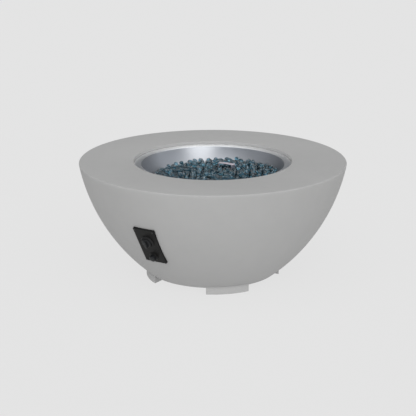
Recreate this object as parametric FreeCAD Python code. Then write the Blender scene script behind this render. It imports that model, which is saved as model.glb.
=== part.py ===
import FreeCAD, Part
import math
import os

# Round cast-concrete gas fire bowl with a drop-in burner pan and a control panel on its side.
# Millimetres. The origin is on the floor under the bowl's centre, +Z is up and the control
# panel faces -Y. Radii are measured from the Z axis unless a comment says otherwise.

V = FreeCAD.Vector
UP = V(0, 0, 1)

# ---- bowl ----
BOWL_R = 533.4            # 42 in across the rim, before its edge is rounded
BOWL_TOP = 475.0          # rim above the floor
BOWL_BASE_R = 261.7       # edge of the bowl's floor, underneath
SIDE_ARC_R = 745.4        # radius of the bowl's side, seen in section
WALL = 19.0               # thickness of the cast side
TOP_SLAB = 32.0           # thickness of the flat top ring
FLOOR_T = 24.0            # thickness of the bowl's floor
RIM_ROUND = 5.0           # outer edge of the rim
HOLE_R = 315.0            # opening in the top ring
HOLE_ROUND = 3.0
ACCESS_R = 150.0          # hole in the bowl's floor for the gas supply

# ---- feet ----
FOOT_H = 25.0             # height of the bowl's floor above the ground
FOOT_PROUD = 8.3          # outer face of a foot beyond the edge of the bowl's floor
FOOT_DEPTH = 60.0         # radial thickness of a foot
CHANNEL_W = 240.0         # straight channels along X and Y that part the feet
FOOT_ANGLES = (45.0, 135.0, 225.0, 315.0)
FOOT_NAMES = ("foot_rear_right", "foot_rear_left", "foot_front_left", "foot_front_right")
FOOT_EDGE = 1.0           # chamfer along the outside of a foot's sole
FOOT_BOLT_SPREAD = 9.0    # degrees from a foot's middle to each of its two bolts
FOOT_BOLT_R = 4.0         # M8
FOOT_BOLT_GRIP = 15.0     # thread length in the foot
WASHER_R = 12.0
WASHER_T = 2.0
BOLT_HEAD_AF = 13.0       # across flats
BOLT_HEAD_H = 5.3

# ---- burner pan ----
PAN_T = 1.5               # sheet
PAN_DROP = 12.6           # pan lip below the rim
PAN_DEPTH = 72.4          # lip to floor, inside
PAN_MOUTH_R = 286.0
PAN_FLOOR_R = 254.0       # 20 in across the floor
PAN_GAP = 2.0             # lip edge to the concrete
PAN_LIP_BEND = 3.0        # inside radii of the two bends
PAN_FLOOR_BEND = 8.0
PAN_CLEAR = 7.5           # pan wall to the concrete below the lip
WEEP_R = 3.5              # rain drain holes
WEEP_IN = 49.0            # drain hole to the edge of the pan floor
WEEP_COUNT = 6

# ---- burner ----
BURNER_R = 145.0          # centre line of the ring tube
TUBE_R = 7.0
CROSS_TUBE_R = 5.5
TUBE_WALL = 1.2
TUBE_LIFT = 8.0           # tube centre above the pan floor
PORT_R = 1.25
PORT_COUNT = 24
HUB_R = 15.0
HUB_H = 17.0
NIPPLE_R = 10.6           # half-inch pipe
NIPPLE_BORE = 7.8
NIPPLE_UP = 8.0           # reach of the nipple into the hub
NIPPLE_L = 36.0
LOCKNUT_AF = 32.0
LOCKNUT_H = 7.0
MIXER_R = 13.5
MIXER_L = 48.0
MIXER_SOCKET = 12.0       # overlap of mixer and nipple
AIR_HOLE_R = 4.0
AIR_HOLE_UP = 16.0        # air holes above the mixer's lower end
ORIFICE_AF = 22.0
ORIFICE_HEX = 9.0
ORIFICE_SPUD_R = 5.0
ORIFICE_SPUD_L = 20.0
ORIFICE_JET_R = 1.2

# ---- pilot group on the pan floor ----
PILOT_ANGLE = 94.7        # degrees round from +X
HOOD_IN = 24.0            # centre line of the curved hood inside that of the ring tube
HOOD_W = 24.0
HOOD_SPAN = 32.0          # degrees
HOOD_H = 42.0             # hood top above the pan floor
HOOD_T = 1.2
HOOD_TAB = 11.0           # length of each foot tab, along the arc
PLATE_T = 1.5             # pilot bracket
PILOT_SCREW_R = 2.0
PILOT_NUT_H = 3.2
PROBE_SPREAD = 4.2        # degrees from the pilot's middle to the electrode and the probe
CERAMIC_R = 3.5
CERAMIC_UP = 16.0         # above the pan floor
CERAMIC_DOWN = 24.0       # below the pan floor
SPARK_ROD_R = 1.0
SPARK_ROD_UP = 6.0        # above the ceramic
SPARK_ROD_DOWN = 6.0      # below the ceramic
SPARK_GAP = 5.0
PROBE_R = 3.0
PROBE_UP = 31.0
PROBE_DOWN = 14.0

# ---- fire glass ----
BED_H = 24.5              # middle of the glass bed above the pan floor, between its mounds
BED_TILT = 2.5            # degrees by which the raked bed rises to one side
BED_HIGH_SIDE = 32.5      # direction of that side, degrees round from +X
BED_GAP = 0.3             # bed to steel
MOUND_STEP = 36.0         # sets the mounds of glass about 61 mm apart
MOUND_R = 27.0            # foot of a mound
MOUND_H = 8.0             # highest mound
MOUND_LOW = 0.5           # lowest mound, as a share of the highest

# ---- control panel ----
PANEL_W = 93.0
PANEL_H = 173.0
PANEL_T = 2.7             # over the window
PANEL_SHARE = 0.469       # panel centre's place between the bowl's floor and its rim
PANEL_GAP = 0.3           # panel to concrete
PANEL_CORNER = 1.5
PANEL_LAND = 11.0         # width of concrete that the panel's edge covers
WINDOW_CORNER = 8.0
PANEL_SCREW_INSET = 6.5
PANEL_SCREW_R = 2.0
PANEL_SCREW_HEAD_R = 3.6
PANEL_SCREW_HEAD_H = 1.8
PANEL_SCREW_L = 24.0
SCREW_PLAY = 0.25         # hole over screw, radial

# ---- gas control, along the knob's axis: front of the bowl's side is 0, inwards is minus ----
KNOB_UP = 25.0            # knob axis above the panel centre, along the side
KNOB_R = 20.0
KNOB_H = 17.0
KNOB_TRAVEL = 3.0
GRIP_W = 11.0
GRIP_H = 9.0
GRIP_ROUND = 2.0
SKIRT_TAPER = 1.2         # skirt's front edge inside its back edge
SKIRT_ROUND = 1.8
KNOB_FACE_T = 6.0         # spindle's end to the grip's face
BEZEL_R = 27.5
BEZEL_BORE = 21.2
BEZEL_H = 7.0             # above the panel
BEZEL_TAPER = 3.5         # its outside narrows by this
BEZEL_TAPER_H = 4.5       # over this height
SPINDLE_R = 4.0
SPINDLE_FLAT = 1.0        # depth of the flat on the spindle's end
FIT = 0.05                # running clearance, radial
VALVE_SEAT = 0.1          # flange under the tangent plane of the side
VALVE_FLANGE_R = 17.0
VALVE_FLANGE_T = 4.0
VALVE_SCREW_R = 2.0
VALVE_SCREW_OUT = 12.0    # screw to knob axis
VALVE_SCREW_HEAD_R = 3.5
VALVE_SCREW_HEAD_H = 1.6
VALVE_NECK_R = 9.5
VALVE_NECK_L = 20.0
VALVE_BODY = (36.0, 32.0, 42.0)
VALVE_ROUND = 4.0
CHAMBER_R = 6.0
CHAMBER_L = 32.0
COLLAR_R = 5.5            # stop collar on the spindle
COLLAR_T = 2.0
PLUNGER_R = 3.2
PLUNGER_L = 22.0
SPRING_WIRE_R = 0.45
BOSS_R = 10.0
BOSS_OUT = 25.0
MAGNET_AF = 17.0
MAGNET_L = 14.0
MAGNET_TAIL_R = 4.5
MAGNET_TAIL_L = 8.0
PROBE_NUT_AF = 12.0
PROBE_NUT_GRIP = 6.5      # nut over the magnet's threaded tail
PROBE_NUT_TAIL = 6.5      # nut over the lead

# ---- igniter, along the button's axis ----
BUTTON_DOWN = 56.0        # button axis below the panel centre, along the side
BUTTON_R = 13.0
BUTTON_PROUD = 18.5       # button's front above the panel
BUTTON_L = 25.5
BUTTON_TRAVEL = 3.0
BUTTON_PLAY = 0.3
BARREL_R = 15.0
BARREL_FLANGE_R = 18.0
BARREL_FLANGE_H = 4.0     # above the panel
BARREL_L = 66.0
BARREL_END_T = 4.0
STEP_ROOM = 1.0           # bottom of the button's bore beyond its travel
CELL_R = 7.25             # AA cell
CELL_L = 50.5
CELL_PLAY = 0.3
STUD_R = 2.6              # contact stud of the cell
STUD_H = 1.5
BUTTON_SPRING_R = 4.6
SPRING_SEAT = 6.0         # bottom of the recess in the button's back
NUT_R = 19.5
NUT_H = 6.0
TERMINAL_R = 3.0
TERMINAL_L = 7.0

# ---- gas line ----
FLARE_R = 7.94            # 5/8 in thread of a 3/8 in flare
FLARE_L = 13.0
FLARE_BORE = 4.8
FLARE_SEAT = 3.0
HOSE_R = 7.0
HOSE_NUT_AF = 22.0
HOSE_NUT_L = 22.0
HOSE_NUT_GRIP = 10.0      # nut over the flare's thread
INLET_ANGLE = -112.0      # degrees round from +X
INLET_IN = 28.0           # inlet's axis inside the edge of the access hole
INLET_ARM_UP = 51.0       # top of the bracket's arm above the bowl's floor
INLET_HEX_AF = 24.0
INLET_HEX_H = 8.0
INLET_THREAD_UP = 9.0     # through the arm's nut
INLET_NUT_H = 6.0
BRACKET_T = 3.0
BRACKET_W = 34.0
BRACKET_FOOT = 38.0       # length of the bracket's foot on the floor
BRACKET_SETBACK = 12.0    # bracket's upright behind the edge of the access hole
BRACKET_SCREW_R = 2.5
BRACKET_SCREW_L = 18.0
BRACKET_SCREW_INSET = 9.0

HOSE_STRAIGHT = 60.0      # hose runs straight out of a flare for this long
HOSE_SWING = 72.0         # burner hose out to its side of the line between its two ends
HOSE_SAG = 72.0           # and below that line
INLET_HOSE_SWING = 67.0
INLET_HOSE_RISE = 24.0

# ---- wires ----
LEAD_R = 1.8
LEAD_STRAIGHT = 30.0      # lead runs straight out of a boot
LEAD_SWING = 76.0
LEAD_RISE = 60.0          # the leads are tied up under the pan, above the line between their ends
THERMO_LEAD_R = 1.3
THERMO_STRAIGHT = 45.0
THERMO_SWING = 70.0
THERMO_RISE = 23.0
BOOT_R = 4.8
BOOT_L = 20.0
BOOT_GRIP = 6.0           # boot over the ceramic's lower end

# worked out from the sizes above
SIDE_RUN = BOWL_R - BOWL_BASE_R                   # the side's arc, from its lower end to its upper
SIDE_RISE = BOWL_TOP - FOOT_H
SIDE_CHORD = math.hypot(SIDE_RUN, SIDE_RISE)
ARC_BACK = math.sqrt(SIDE_ARC_R ** 2 - (SIDE_CHORD / 2) ** 2) / SIDE_CHORD
ARC_X = (BOWL_R + BOWL_BASE_R) / 2 - ARC_BACK * SIDE_RISE   # centre of that arc
ARC_Z = (BOWL_TOP + FOOT_H) / 2 + ARC_BACK * SIDE_RUN
PANEL_Z = FOOT_H + PANEL_SHARE * SIDE_RISE
PAN_LIP_Z = BOWL_TOP - PAN_DROP
PAN_FLOOR_Z = PAN_LIP_Z - PAN_DEPTH
PAN_SLOPE = (PAN_MOUTH_R - PAN_FLOOR_R) / PAN_DEPTH
LEDGE_Z = PAN_LIP_Z - PAN_T
FLOOR_TOP = FOOT_H + FLOOR_T
LEDGE_BORE = PAN_MOUTH_R + PAN_T + PAN_CLEAR
HOOD_R = BURNER_R - HOOD_IN
HOOD_TOP = PAN_FLOOR_Z + HOOD_H
PLATE_TOP = PAN_FLOOR_Z + PLATE_T
PANEL_FRONT = PANEL_GAP + PANEL_T
INLET_R = ACCESS_R - INLET_IN
INLET_ARM_Z = FLOOR_TOP + INLET_ARM_UP
BRACKET_START = ACCESS_R + BRACKET_SETBACK
PANEL_ANGLE = math.degrees(math.asin((ARC_Z - PANEL_Z) / SIDE_ARC_R))


# ------------------------------------------------------------------ shape helpers

def rod(radius, low, high, x=0.0, y=0.0):
    """Upright cylinder between two heights."""
    return Part.makeCylinder(radius, high - low, V(x, y, low))


def tube_piece(radius, bore, low, high):
    return rod(radius, low, high).cut(rod(bore, low - 1, high + 1))


def hexagon(across_flats, low, high):
    """Upright hexagonal prism."""
    corner = across_flats / math.sqrt(3)
    turns = [math.radians(60 * i) for i in range(7)]
    points = [V(corner * math.cos(a), corner * math.sin(a), low) for a in turns]
    return Part.Face(Part.makePolygon(points)).extrude(V(0, 0, high - low))


def block(width, depth, low, high, corner=0.0):
    """Upright block centred on the axis, with its four standing edges rounded."""
    shape = Part.makeBox(width, depth, high - low, V(-width / 2, -depth / 2, low))
    if corner:
        standing = [e for e in shape.Edges if abs(e.tangentAt(e.FirstParameter).z) > 0.9]
        shape = shape.makeFillet(corner, standing)
    return shape


def place(shape, placement):
    moved = shape.copy()
    moved.Placement = placement.multiply(moved.Placement)
    return moved


def turned(angle, distance=0.0):
    """Placement at an angle round the Z axis and a distance out."""
    spin = FreeCAD.Rotation(UP, angle)
    return FreeCAD.Placement(spin.multVec(V(distance, 0, 0)), spin)


def rounded_outline(corners):
    """Closed wire in the XZ plane through (x, z, radius) corners, each rounded by a tangent arc."""
    edges = []
    stops = []
    count = len(corners)
    for i, (x, z, radius) in enumerate(corners):
        here = V(x, 0, z)
        before = V(corners[i - 1][0], 0, corners[i - 1][1]) - here
        after = V(corners[(i + 1) % count][0], 0, corners[(i + 1) % count][1]) - here
        before.normalize()
        after.normalize()
        if not radius:
            stops.append((here, here))
            continue
        half = math.acos(max(-1.0, min(1.0, before.dot(after)))) / 2
        run = radius / math.tan(half)
        inward = before + after
        inward.normalize()
        middle = here + inward * (radius / math.sin(half) - radius)
        start, end = here + before * run, here + after * run
        edges.append(Part.Arc(start, middle, end).toShape())
        stops.append((start, end))
    for i in range(count):
        start, end = stops[i - 1][1], stops[i][0]
        if (start - end).Length > 1e-6:
            edges.append(Part.LineSegment(start, end).toShape())
    return Part.Wire(Part.__sortEdges__(edges))


def revolved(wire, start=0.0, sweep=360.0):
    """Solid made by turning a closed wire in the XZ plane about the Z axis."""
    face = Part.Face(wire)
    if start:
        face.rotate(V(0, 0, 0), UP, start)
    return face.revolve(V(0, 0, 0), UP, sweep)


def pipe(points, radius):
    """Round tube along straight runs joined by tangent arcs as large as the runs allow."""
    share = 0.45
    edges = []
    last = points[0]
    for before, corner, after in zip(points, points[1:], points[2:]):
        into, out = corner - before, after - corner
        turn = into.getAngle(out)
        reach = share * min(into.Length, out.Length)
        into.normalize()
        out.normalize()
        start, end = corner - into * reach, corner + out * reach
        bend = reach / math.tan(turn / 2)
        inward = out - into
        inward.normalize()
        middle = corner + inward * (bend / math.cos(turn / 2) - bend)
        edges.append(Part.LineSegment(last, start).toShape())
        edges.append(Part.Arc(start, middle, end).toShape())
        last = end
    edges.append(Part.LineSegment(last, points[-1]).toShape())
    path = Part.Wire(edges)
    first = points[1] - points[0]
    section = Part.Face(Part.Wire(Part.makeCircle(radius, points[0], first)))
    return path.makePipe(section)


def spring(radius, wire, low, high, turns):
    """Coil spring along Z, wound from short runs and the arcs between them."""
    steps = 8
    rise = (high - low - 2 * wire) / (turns * steps)
    turn = 2 * math.pi / steps
    return pipe([V(radius * math.cos(turn * i), radius * math.sin(turn * i), low + wire + rise * i)
                 for i in range(turns * steps + 1)], wire)


def screw(head_r, head_h, shank_r, length):
    """Pan-head screw: the head stands on Z = 0 and the shank goes down."""
    head = rod(head_r, 0, head_h)
    top = [e for e in head.Edges if e.BoundBox.ZMin > head_h / 2]
    head = head.makeFillet(head_h * 0.45, top)
    slot = Part.makeBox(2.2 * head_r, 0.3 * head_r, head_h, V(-1.1 * head_r, -0.15 * head_r, 0.6 * head_h))
    return head.cut(slot).fuse(rod(shank_r, -length, 0)).removeSplitter()


def male_flare(outward=1):
    """Threaded end with a 45 degree seat, from Z = 0 outwards along Z."""
    corners = [(FLARE_BORE, 0, 0), (FLARE_R, 0, 0), (FLARE_R, FLARE_L - FLARE_SEAT, 0),
               (FLARE_R - FLARE_SEAT, FLARE_L, 0), (FLARE_BORE, FLARE_L, 0)]
    return revolved(rounded_outline([(x, z * outward, r) for x, z, r in corners]))


def hose_nut():
    """Swivel nut over a male flare that ends at FLARE_L, and over the hose beyond it."""
    start = FLARE_L - HOSE_NUT_GRIP
    nut = hexagon(HOSE_NUT_AF, start, start + HOSE_NUT_L)
    nut = nut.cut(rod(FLARE_R + FIT, start - 1, FLARE_L))
    return nut.cut(rod(HOSE_R + FIT, FLARE_L - 1, start + HOSE_NUT_L + 1))


# ------------------------------------------------------------------ the bowl's side

def side_radius(height, offset=0.0):
    """Radius of the side at a height, on a surface offset outwards from it."""
    return ARC_X + math.sqrt((SIDE_ARC_R + offset) ** 2 - (ARC_Z - height) ** 2)


def side_point(angle, offset=0.0):
    """Point in the XZ plane where the side's outward normal is angle degrees below level."""
    a = math.radians(angle)
    reach = SIDE_ARC_R + offset
    return V(ARC_X + reach * math.cos(a), 0, ARC_Z - reach * math.sin(a))


def on_side(along):
    """Placement on the side at -Y, a distance up it from the panel centre: Z points out, Y up."""
    angle = PANEL_ANGLE - math.degrees(along / SIDE_ARC_R)
    point = side_point(angle)
    return FreeCAD.Placement(V(0, -point.x, point.z), FreeCAD.Rotation(V(1, 0, 0), 90 + angle))


def on_panel(across, along):
    """Placement on the plane that touches the side at the panel's centre: Z points out, Y up."""
    return PANEL.multiply(FreeCAD.Placement(V(across, along, 0), FreeCAD.Rotation()))


def side_skin(low_offset, high_offset):
    """Part of a shell parallel to the side, wide enough for the control panel."""
    reach = math.degrees(PANEL_H / SIDE_ARC_R)
    wide = math.degrees(PANEL_W / side_radius(PANEL_Z))
    low, mid, high = PANEL_ANGLE + reach, PANEL_ANGLE, PANEL_ANGLE - reach
    ends = [(side_point(a, low_offset), side_point(a, high_offset)) for a in (low, high)]
    wire = Part.Wire(Part.__sortEdges__([
        Part.Arc(ends[0][0], side_point(mid, low_offset), ends[1][0]).toShape(),
        Part.LineSegment(ends[1][0], ends[1][1]).toShape(),
        Part.Arc(ends[1][1], side_point(mid, high_offset), ends[0][1]).toShape(),
        Part.LineSegment(ends[0][1], ends[0][0]).toShape()]))
    return revolved(wire, -90 - wide, 2 * wide)


FOOT_R = side_radius(FOOT_H) + FOOT_PROUD
PANEL = on_side(0.0)
KNOB = on_panel(0, KNOB_UP)
BUTTON = on_panel(0, -BUTTON_DOWN)


def panel_screw_places():
    """The panel's four corners."""
    across = PANEL_W / 2 - PANEL_SCREW_INSET
    up = PANEL_H / 2 - PANEL_SCREW_INSET
    return [on_panel(side * across, sign * up) for sign in (-1, 1) for side in (-1, 1)]


# ------------------------------------------------------------------ bowl and feet

def bowl_solid():
    """The bowl's outside as one solid, with its rounded rim."""
    floor_r = side_radius(FOOT_H)
    inner = SIDE_ARC_R - RIM_ROUND
    round_z = BOWL_TOP - RIM_ROUND
    round_x = ARC_X + math.sqrt(inner ** 2 - (ARC_Z - round_z) ** 2)
    centre = V(ARC_X, 0, ARC_Z)
    touch = centre + (V(round_x, 0, round_z) - centre) * (SIDE_ARC_R / inner)
    lean = math.atan2(touch.z - round_z, touch.x - round_x)
    half = (lean + math.pi / 2) / 2
    middle = V(round_x + RIM_ROUND * math.cos(half), 0, round_z + RIM_ROUND * math.sin(half))
    mid_z = (FOOT_H + touch.z) / 2
    edges = [
        Part.LineSegment(V(0, 0, FOOT_H), V(floor_r, 0, FOOT_H)).toShape(),
        Part.Arc(V(floor_r, 0, FOOT_H), V(side_radius(mid_z), 0, mid_z), touch).toShape(),
        Part.Arc(touch, middle, V(round_x, 0, BOWL_TOP)).toShape(),
        Part.LineSegment(V(round_x, 0, BOWL_TOP), V(0, 0, BOWL_TOP)).toShape(),
        Part.LineSegment(V(0, 0, BOWL_TOP), V(0, 0, FOOT_H)).toShape()]
    return revolved(Part.Wire(edges))


def bowl_hollow():
    """The space inside the shell, between its floor and its top ring."""
    roof = BOWL_TOP - TOP_SLAB
    low_r, high_r = side_radius(FLOOR_TOP, -WALL), side_radius(roof, -WALL)
    mid_z = (FLOOR_TOP + roof) / 2
    edges = [
        Part.LineSegment(V(0, 0, FLOOR_TOP), V(low_r, 0, FLOOR_TOP)).toShape(),
        Part.Arc(V(low_r, 0, FLOOR_TOP), V(side_radius(mid_z, -WALL), 0, mid_z),
                 V(high_r, 0, roof)).toShape(),
        Part.LineSegment(V(high_r, 0, roof), V(0, 0, roof)).toShape(),
        Part.LineSegment(V(0, 0, roof), V(0, 0, FLOOR_TOP)).toShape()]
    return revolved(Part.Wire(edges))


def foot_bolt_places():
    """Two bolts to a foot, midway between its inner face and the edge of the bowl's floor."""
    distance = (FOOT_R - FOOT_DEPTH + side_radius(FOOT_H)) / 2
    return [[turned(angle + side * FOOT_BOLT_SPREAD, distance) for side in (-1, 1)]
            for angle in FOOT_ANGLES]


def bowl_shell():
    """Shell of glass-fibre concrete, cast in one with its top ring and floor."""
    over = 5.0
    opening = rounded_outline([
        (0, BOWL_TOP - TOP_SLAB - over, 0), (LEDGE_BORE, BOWL_TOP - TOP_SLAB - over, 0),
        (LEDGE_BORE, LEDGE_Z, 0), (HOLE_R, LEDGE_Z, 0),
        (HOLE_R, BOWL_TOP - HOLE_ROUND, 0), (HOLE_R + HOLE_ROUND, BOWL_TOP, 0),
        (HOLE_R + HOLE_ROUND, BOWL_TOP + over, 0), (0, BOWL_TOP + over, 0)])
    shell = bowl_solid().cut(bowl_hollow()).cut(revolved(opening))
    shell = shell.cut(rod(ACCESS_R, 0, FLOOR_TOP + over))
    window = block(PANEL_W - 2 * PANEL_LAND, PANEL_H - 2 * PANEL_LAND, -3 * WALL, 2 * WALL,
                   WINDOW_CORNER)
    shell = shell.cut(place(window, PANEL))
    for spot in panel_screw_places():
        shell = shell.cut(place(rod(PANEL_SCREW_R + FIT, -PANEL_SCREW_L, over), spot))
    for pair in foot_bolt_places():
        for spot in pair:
            shell = shell.cut(place(rod(FOOT_BOLT_R + SCREW_PLAY, 0, FLOOR_TOP + over), spot))
    for spot in bracket_screw_places():
        hole = rod(BRACKET_SCREW_R + FIT, FLOOR_TOP - BRACKET_SCREW_L, FLOOR_TOP + over)
        shell = shell.cut(place(hole, spot))
    return shell


def foot(angle, bolts):
    """Cast piece of a ring under the bowl, with straight ends and a top shaped to the bowl's curve."""
    top = FOOT_H + 12.0
    inner = FOOT_R - FOOT_DEPTH
    wire = rounded_outline([(inner, 0, 0), (FOOT_R - FOOT_EDGE, 0, 0), (FOOT_R, FOOT_EDGE, 0),
                            (FOOT_R, top, 0), (inner, top, 0)])
    corner = Part.makeBox(FOOT_R, FOOT_R, top, V(CHANNEL_W / 2, CHANNEL_W / 2, 0))
    corner.rotate(V(0, 0, 0), UP, angle - 45)
    shape = revolved(wire, angle - 45, 90).common(corner).cut(bowl_solid())
    for spot in bolts:
        shape = shape.cut(place(rod(FOOT_BOLT_R + FIT, FOOT_H - FOOT_BOLT_GRIP - 1, top), spot))
    return shape


def foot_bolt():
    """Hex bolt, head up on its washer, down through the bowl's floor."""
    seat = FLOOR_TOP + WASHER_T
    head = hexagon(BOLT_HEAD_AF, seat, seat + BOLT_HEAD_H)
    return head.fuse(rod(FOOT_BOLT_R, FOOT_H - FOOT_BOLT_GRIP, seat)).removeSplitter()


# ------------------------------------------------------------------ burner pan and burner

def pilot_spots():
    """Places of the hood's two screws, the spark electrode and the flame probe."""
    half = HOOD_SPAN / 2
    tab = math.degrees(HOOD_TAB / 2 / HOOD_R)
    screws = [turned(PILOT_ANGLE + s * (half + tab), HOOD_R) for s in (-1, 1)]
    electrode = turned(PILOT_ANGLE + PROBE_SPREAD, HOOD_R)
    probe = turned(PILOT_ANGLE - PROBE_SPREAD, HOOD_R)
    return screws, electrode, probe


def burner_pan():
    """Spun stainless pan: flat lip on the concrete ledge, conical wall, flat floor."""
    lip_r = HOLE_R - PAN_GAP
    slant = PAN_T * math.sqrt(1 + PAN_SLOPE ** 2)
    outer_mouth = PAN_MOUTH_R + slant - PAN_T * PAN_SLOPE
    outer_floor = PAN_FLOOR_R + slant - PAN_T * PAN_SLOPE
    pan = revolved(rounded_outline([
        (0, PAN_FLOOR_Z - PAN_T, 0),
        (outer_floor, PAN_FLOOR_Z - PAN_T, PAN_FLOOR_BEND + PAN_T),
        (outer_mouth, PAN_LIP_Z - PAN_T, PAN_LIP_BEND),
        (lip_r, PAN_LIP_Z - PAN_T, 0), (lip_r, PAN_LIP_Z, 0),
        (PAN_MOUTH_R, PAN_LIP_Z, PAN_LIP_BEND + PAN_T),
        (PAN_FLOOR_R, PAN_FLOOR_Z, PAN_FLOOR_BEND), (0, PAN_FLOOR_Z, 0)]))
    low, high = PAN_FLOOR_Z - 3 * PAN_T, PAN_FLOOR_Z + 3 * PAN_T
    pan = pan.cut(rod(NIPPLE_R + SCREW_PLAY, low, high))
    screws, electrode, probe = pilot_spots()
    for spot in screws:
        pan = pan.cut(place(rod(PILOT_SCREW_R + SCREW_PLAY, low, high), spot))
    pan = pan.cut(place(rod(CERAMIC_R + SCREW_PLAY, low, high), electrode))
    pan = pan.cut(place(rod(PROBE_R + SCREW_PLAY, low, high), probe))
    for i in range(WEEP_COUNT):
        spot = turned(360 * (i + 0.5) / WEEP_COUNT, PAN_FLOOR_R - WEEP_IN)
        pan = pan.cut(place(rod(WEEP_R, low, high), spot))
    return pan


def ring_burner():
    """Ring tube and cross tube welded to a hub, with gas ports along the ring's top."""
    level = PAN_FLOOR_Z + TUBE_LIFT
    across = FreeCAD.Placement(V(0, 0, level), FreeCAD.Rotation(V(0, 1, 0), 90))

    def tubes(wall):
        ring = place(Part.makeTorus(BURNER_R, TUBE_R - wall, V(0, 0, level)), turned(90))
        return ring.fuse(place(rod(CROSS_TUBE_R - wall, -BURNER_R, BURNER_R), across))

    hub = rod(HUB_R, PAN_FLOOR_Z, PAN_FLOOR_Z + HUB_H)
    shape = tubes(0.0).fuse(hub).cut(tubes(TUBE_WALL))
    cap = 3.0
    shape = shape.cut(rod(NIPPLE_R + FIT, PAN_FLOOR_Z - 1, PAN_FLOOR_Z + NIPPLE_UP))
    shape = shape.cut(rod(NIPPLE_BORE, PAN_FLOOR_Z, PAN_FLOOR_Z + HUB_H - cap))
    for i in range(PORT_COUNT):
        port = rod(PORT_R, level, level + 2 * TUBE_R)
        shape = shape.cut(place(port, turned(360 * (i + 0.5) / PORT_COUNT, BURNER_R)))
    return shape


def gas_nipple():
    """Pipe nipple that holds the burner to the pan."""
    top = PAN_FLOOR_Z + NIPPLE_UP
    return tube_piece(NIPPLE_R, NIPPLE_BORE, top - NIPPLE_L, top)


def pan_locknut():
    top = PAN_FLOOR_Z - PAN_T
    return hexagon(LOCKNUT_AF, top - LOCKNUT_H, top).cut(rod(NIPPLE_R + FIT, top - LOCKNUT_H - 1, top + 1))


MIXER_TOP = PAN_FLOOR_Z + NIPPLE_UP - NIPPLE_L + MIXER_SOCKET
MIXER_LOW = MIXER_TOP - MIXER_L


def air_mixer():
    """Venturi tube below the nipple, with four air holes."""
    mixer = tube_piece(MIXER_R, NIPPLE_BORE, MIXER_LOW, MIXER_TOP)
    mixer = mixer.cut(rod(NIPPLE_R + FIT, MIXER_TOP - MIXER_SOCKET, MIXER_TOP + 1))
    for i in range(4):
        hole = place(rod(AIR_HOLE_R, 0, 2 * MIXER_R), FreeCAD.Placement(
            V(0, 0, MIXER_LOW + AIR_HOLE_UP), FreeCAD.Rotation(V(0, 1, 0), 90)))
        mixer = mixer.cut(place(hole, turned(45 + 90 * i)))
    return mixer


def gas_orifice():
    """Brass jet: the spud stands in the mixer, a flare end points down."""
    hex_low = MIXER_LOW - ORIFICE_HEX
    body = hexagon(ORIFICE_AF, hex_low, MIXER_LOW)
    body = body.fuse(rod(ORIFICE_SPUD_R, MIXER_LOW, MIXER_LOW + ORIFICE_SPUD_L))
    body = body.cut(rod(FLARE_BORE, hex_low - 1, MIXER_LOW - 1))
    body = body.cut(rod(ORIFICE_JET_R, MIXER_LOW - 2, MIXER_LOW + ORIFICE_SPUD_L + 1))
    flare = male_flare(-1)
    flare.translate(V(0, 0, hex_low))
    return body.fuse(flare).removeSplitter()


# ------------------------------------------------------------------ pilot group

def arc_strip(centre_r, width, span, low, high, angle):
    """Flat strip that follows a circle about the Z axis."""
    wire = rounded_outline([(centre_r - width / 2, low, 0), (centre_r + width / 2, low, 0),
                            (centre_r + width / 2, high, 0), (centre_r - width / 2, high, 0)])
    return revolved(wire, angle - span / 2, span)


def flame_hood():
    """Bent stainless cover over the electrode and the probe, open along both long sides."""
    tab = math.degrees(HOOD_TAB / HOOD_R)
    side = math.degrees(HOOD_T / HOOD_R)
    shape = arc_strip(HOOD_R, HOOD_W, HOOD_SPAN, HOOD_TOP - HOOD_T, HOOD_TOP, PILOT_ANGLE)
    for sign in (-1, 1):
        end = PILOT_ANGLE + sign * (HOOD_SPAN - side) / 2
        shape = shape.fuse(arc_strip(HOOD_R, HOOD_W, side, PLATE_TOP, HOOD_TOP, end))
        out = PILOT_ANGLE + sign * (HOOD_SPAN + tab) / 2
        foot_tab = arc_strip(HOOD_R, HOOD_W, tab, PLATE_TOP, PLATE_TOP + HOOD_T, out)
        shape = shape.fuse(foot_tab)
    shape = shape.removeSplitter()
    for spot in pilot_spots()[0]:
        shape = shape.cut(place(rod(PILOT_SCREW_R + SCREW_PLAY, PLATE_TOP - 1, PLATE_TOP + 4), spot))
    return shape


def pilot_bracket():
    """Plate on the pan floor that locates the electrode and the probe."""
    screws, electrode, probe = pilot_spots()
    span = HOOD_SPAN + 2 * math.degrees(HOOD_TAB / HOOD_R)
    shape = arc_strip(HOOD_R, HOOD_W, span, PAN_FLOOR_Z, PLATE_TOP, PILOT_ANGLE)
    low, high = PAN_FLOOR_Z - 1, PLATE_TOP + 1
    for spot in screws:
        shape = shape.cut(place(rod(PILOT_SCREW_R + SCREW_PLAY, low, high), spot))
    shape = shape.cut(place(rod(CERAMIC_R + FIT, low, high), electrode))
    return shape.cut(place(rod(PROBE_R + FIT, low, high), probe))


def pilot_screw():
    seat = PLATE_TOP + HOOD_T
    length = seat - PAN_FLOOR_Z + PAN_T + 2 * PILOT_NUT_H
    shape = screw(1.9 * PILOT_SCREW_R, PILOT_SCREW_R, PILOT_SCREW_R, length)
    shape.translate(V(0, 0, seat))
    return shape


def pilot_nut():
    top = PAN_FLOOR_Z - PAN_T
    nut = hexagon(3.5 * PILOT_SCREW_R, top - PILOT_NUT_H, top)
    return nut.cut(rod(PILOT_SCREW_R + FIT, top - 2 * PILOT_NUT_H, top + 1))


def electrode_ceramic():
    low, high = PAN_FLOOR_Z - CERAMIC_DOWN, PAN_FLOOR_Z + CERAMIC_UP
    return tube_piece(CERAMIC_R, SPARK_ROD_R + FIT, low, high)


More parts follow.
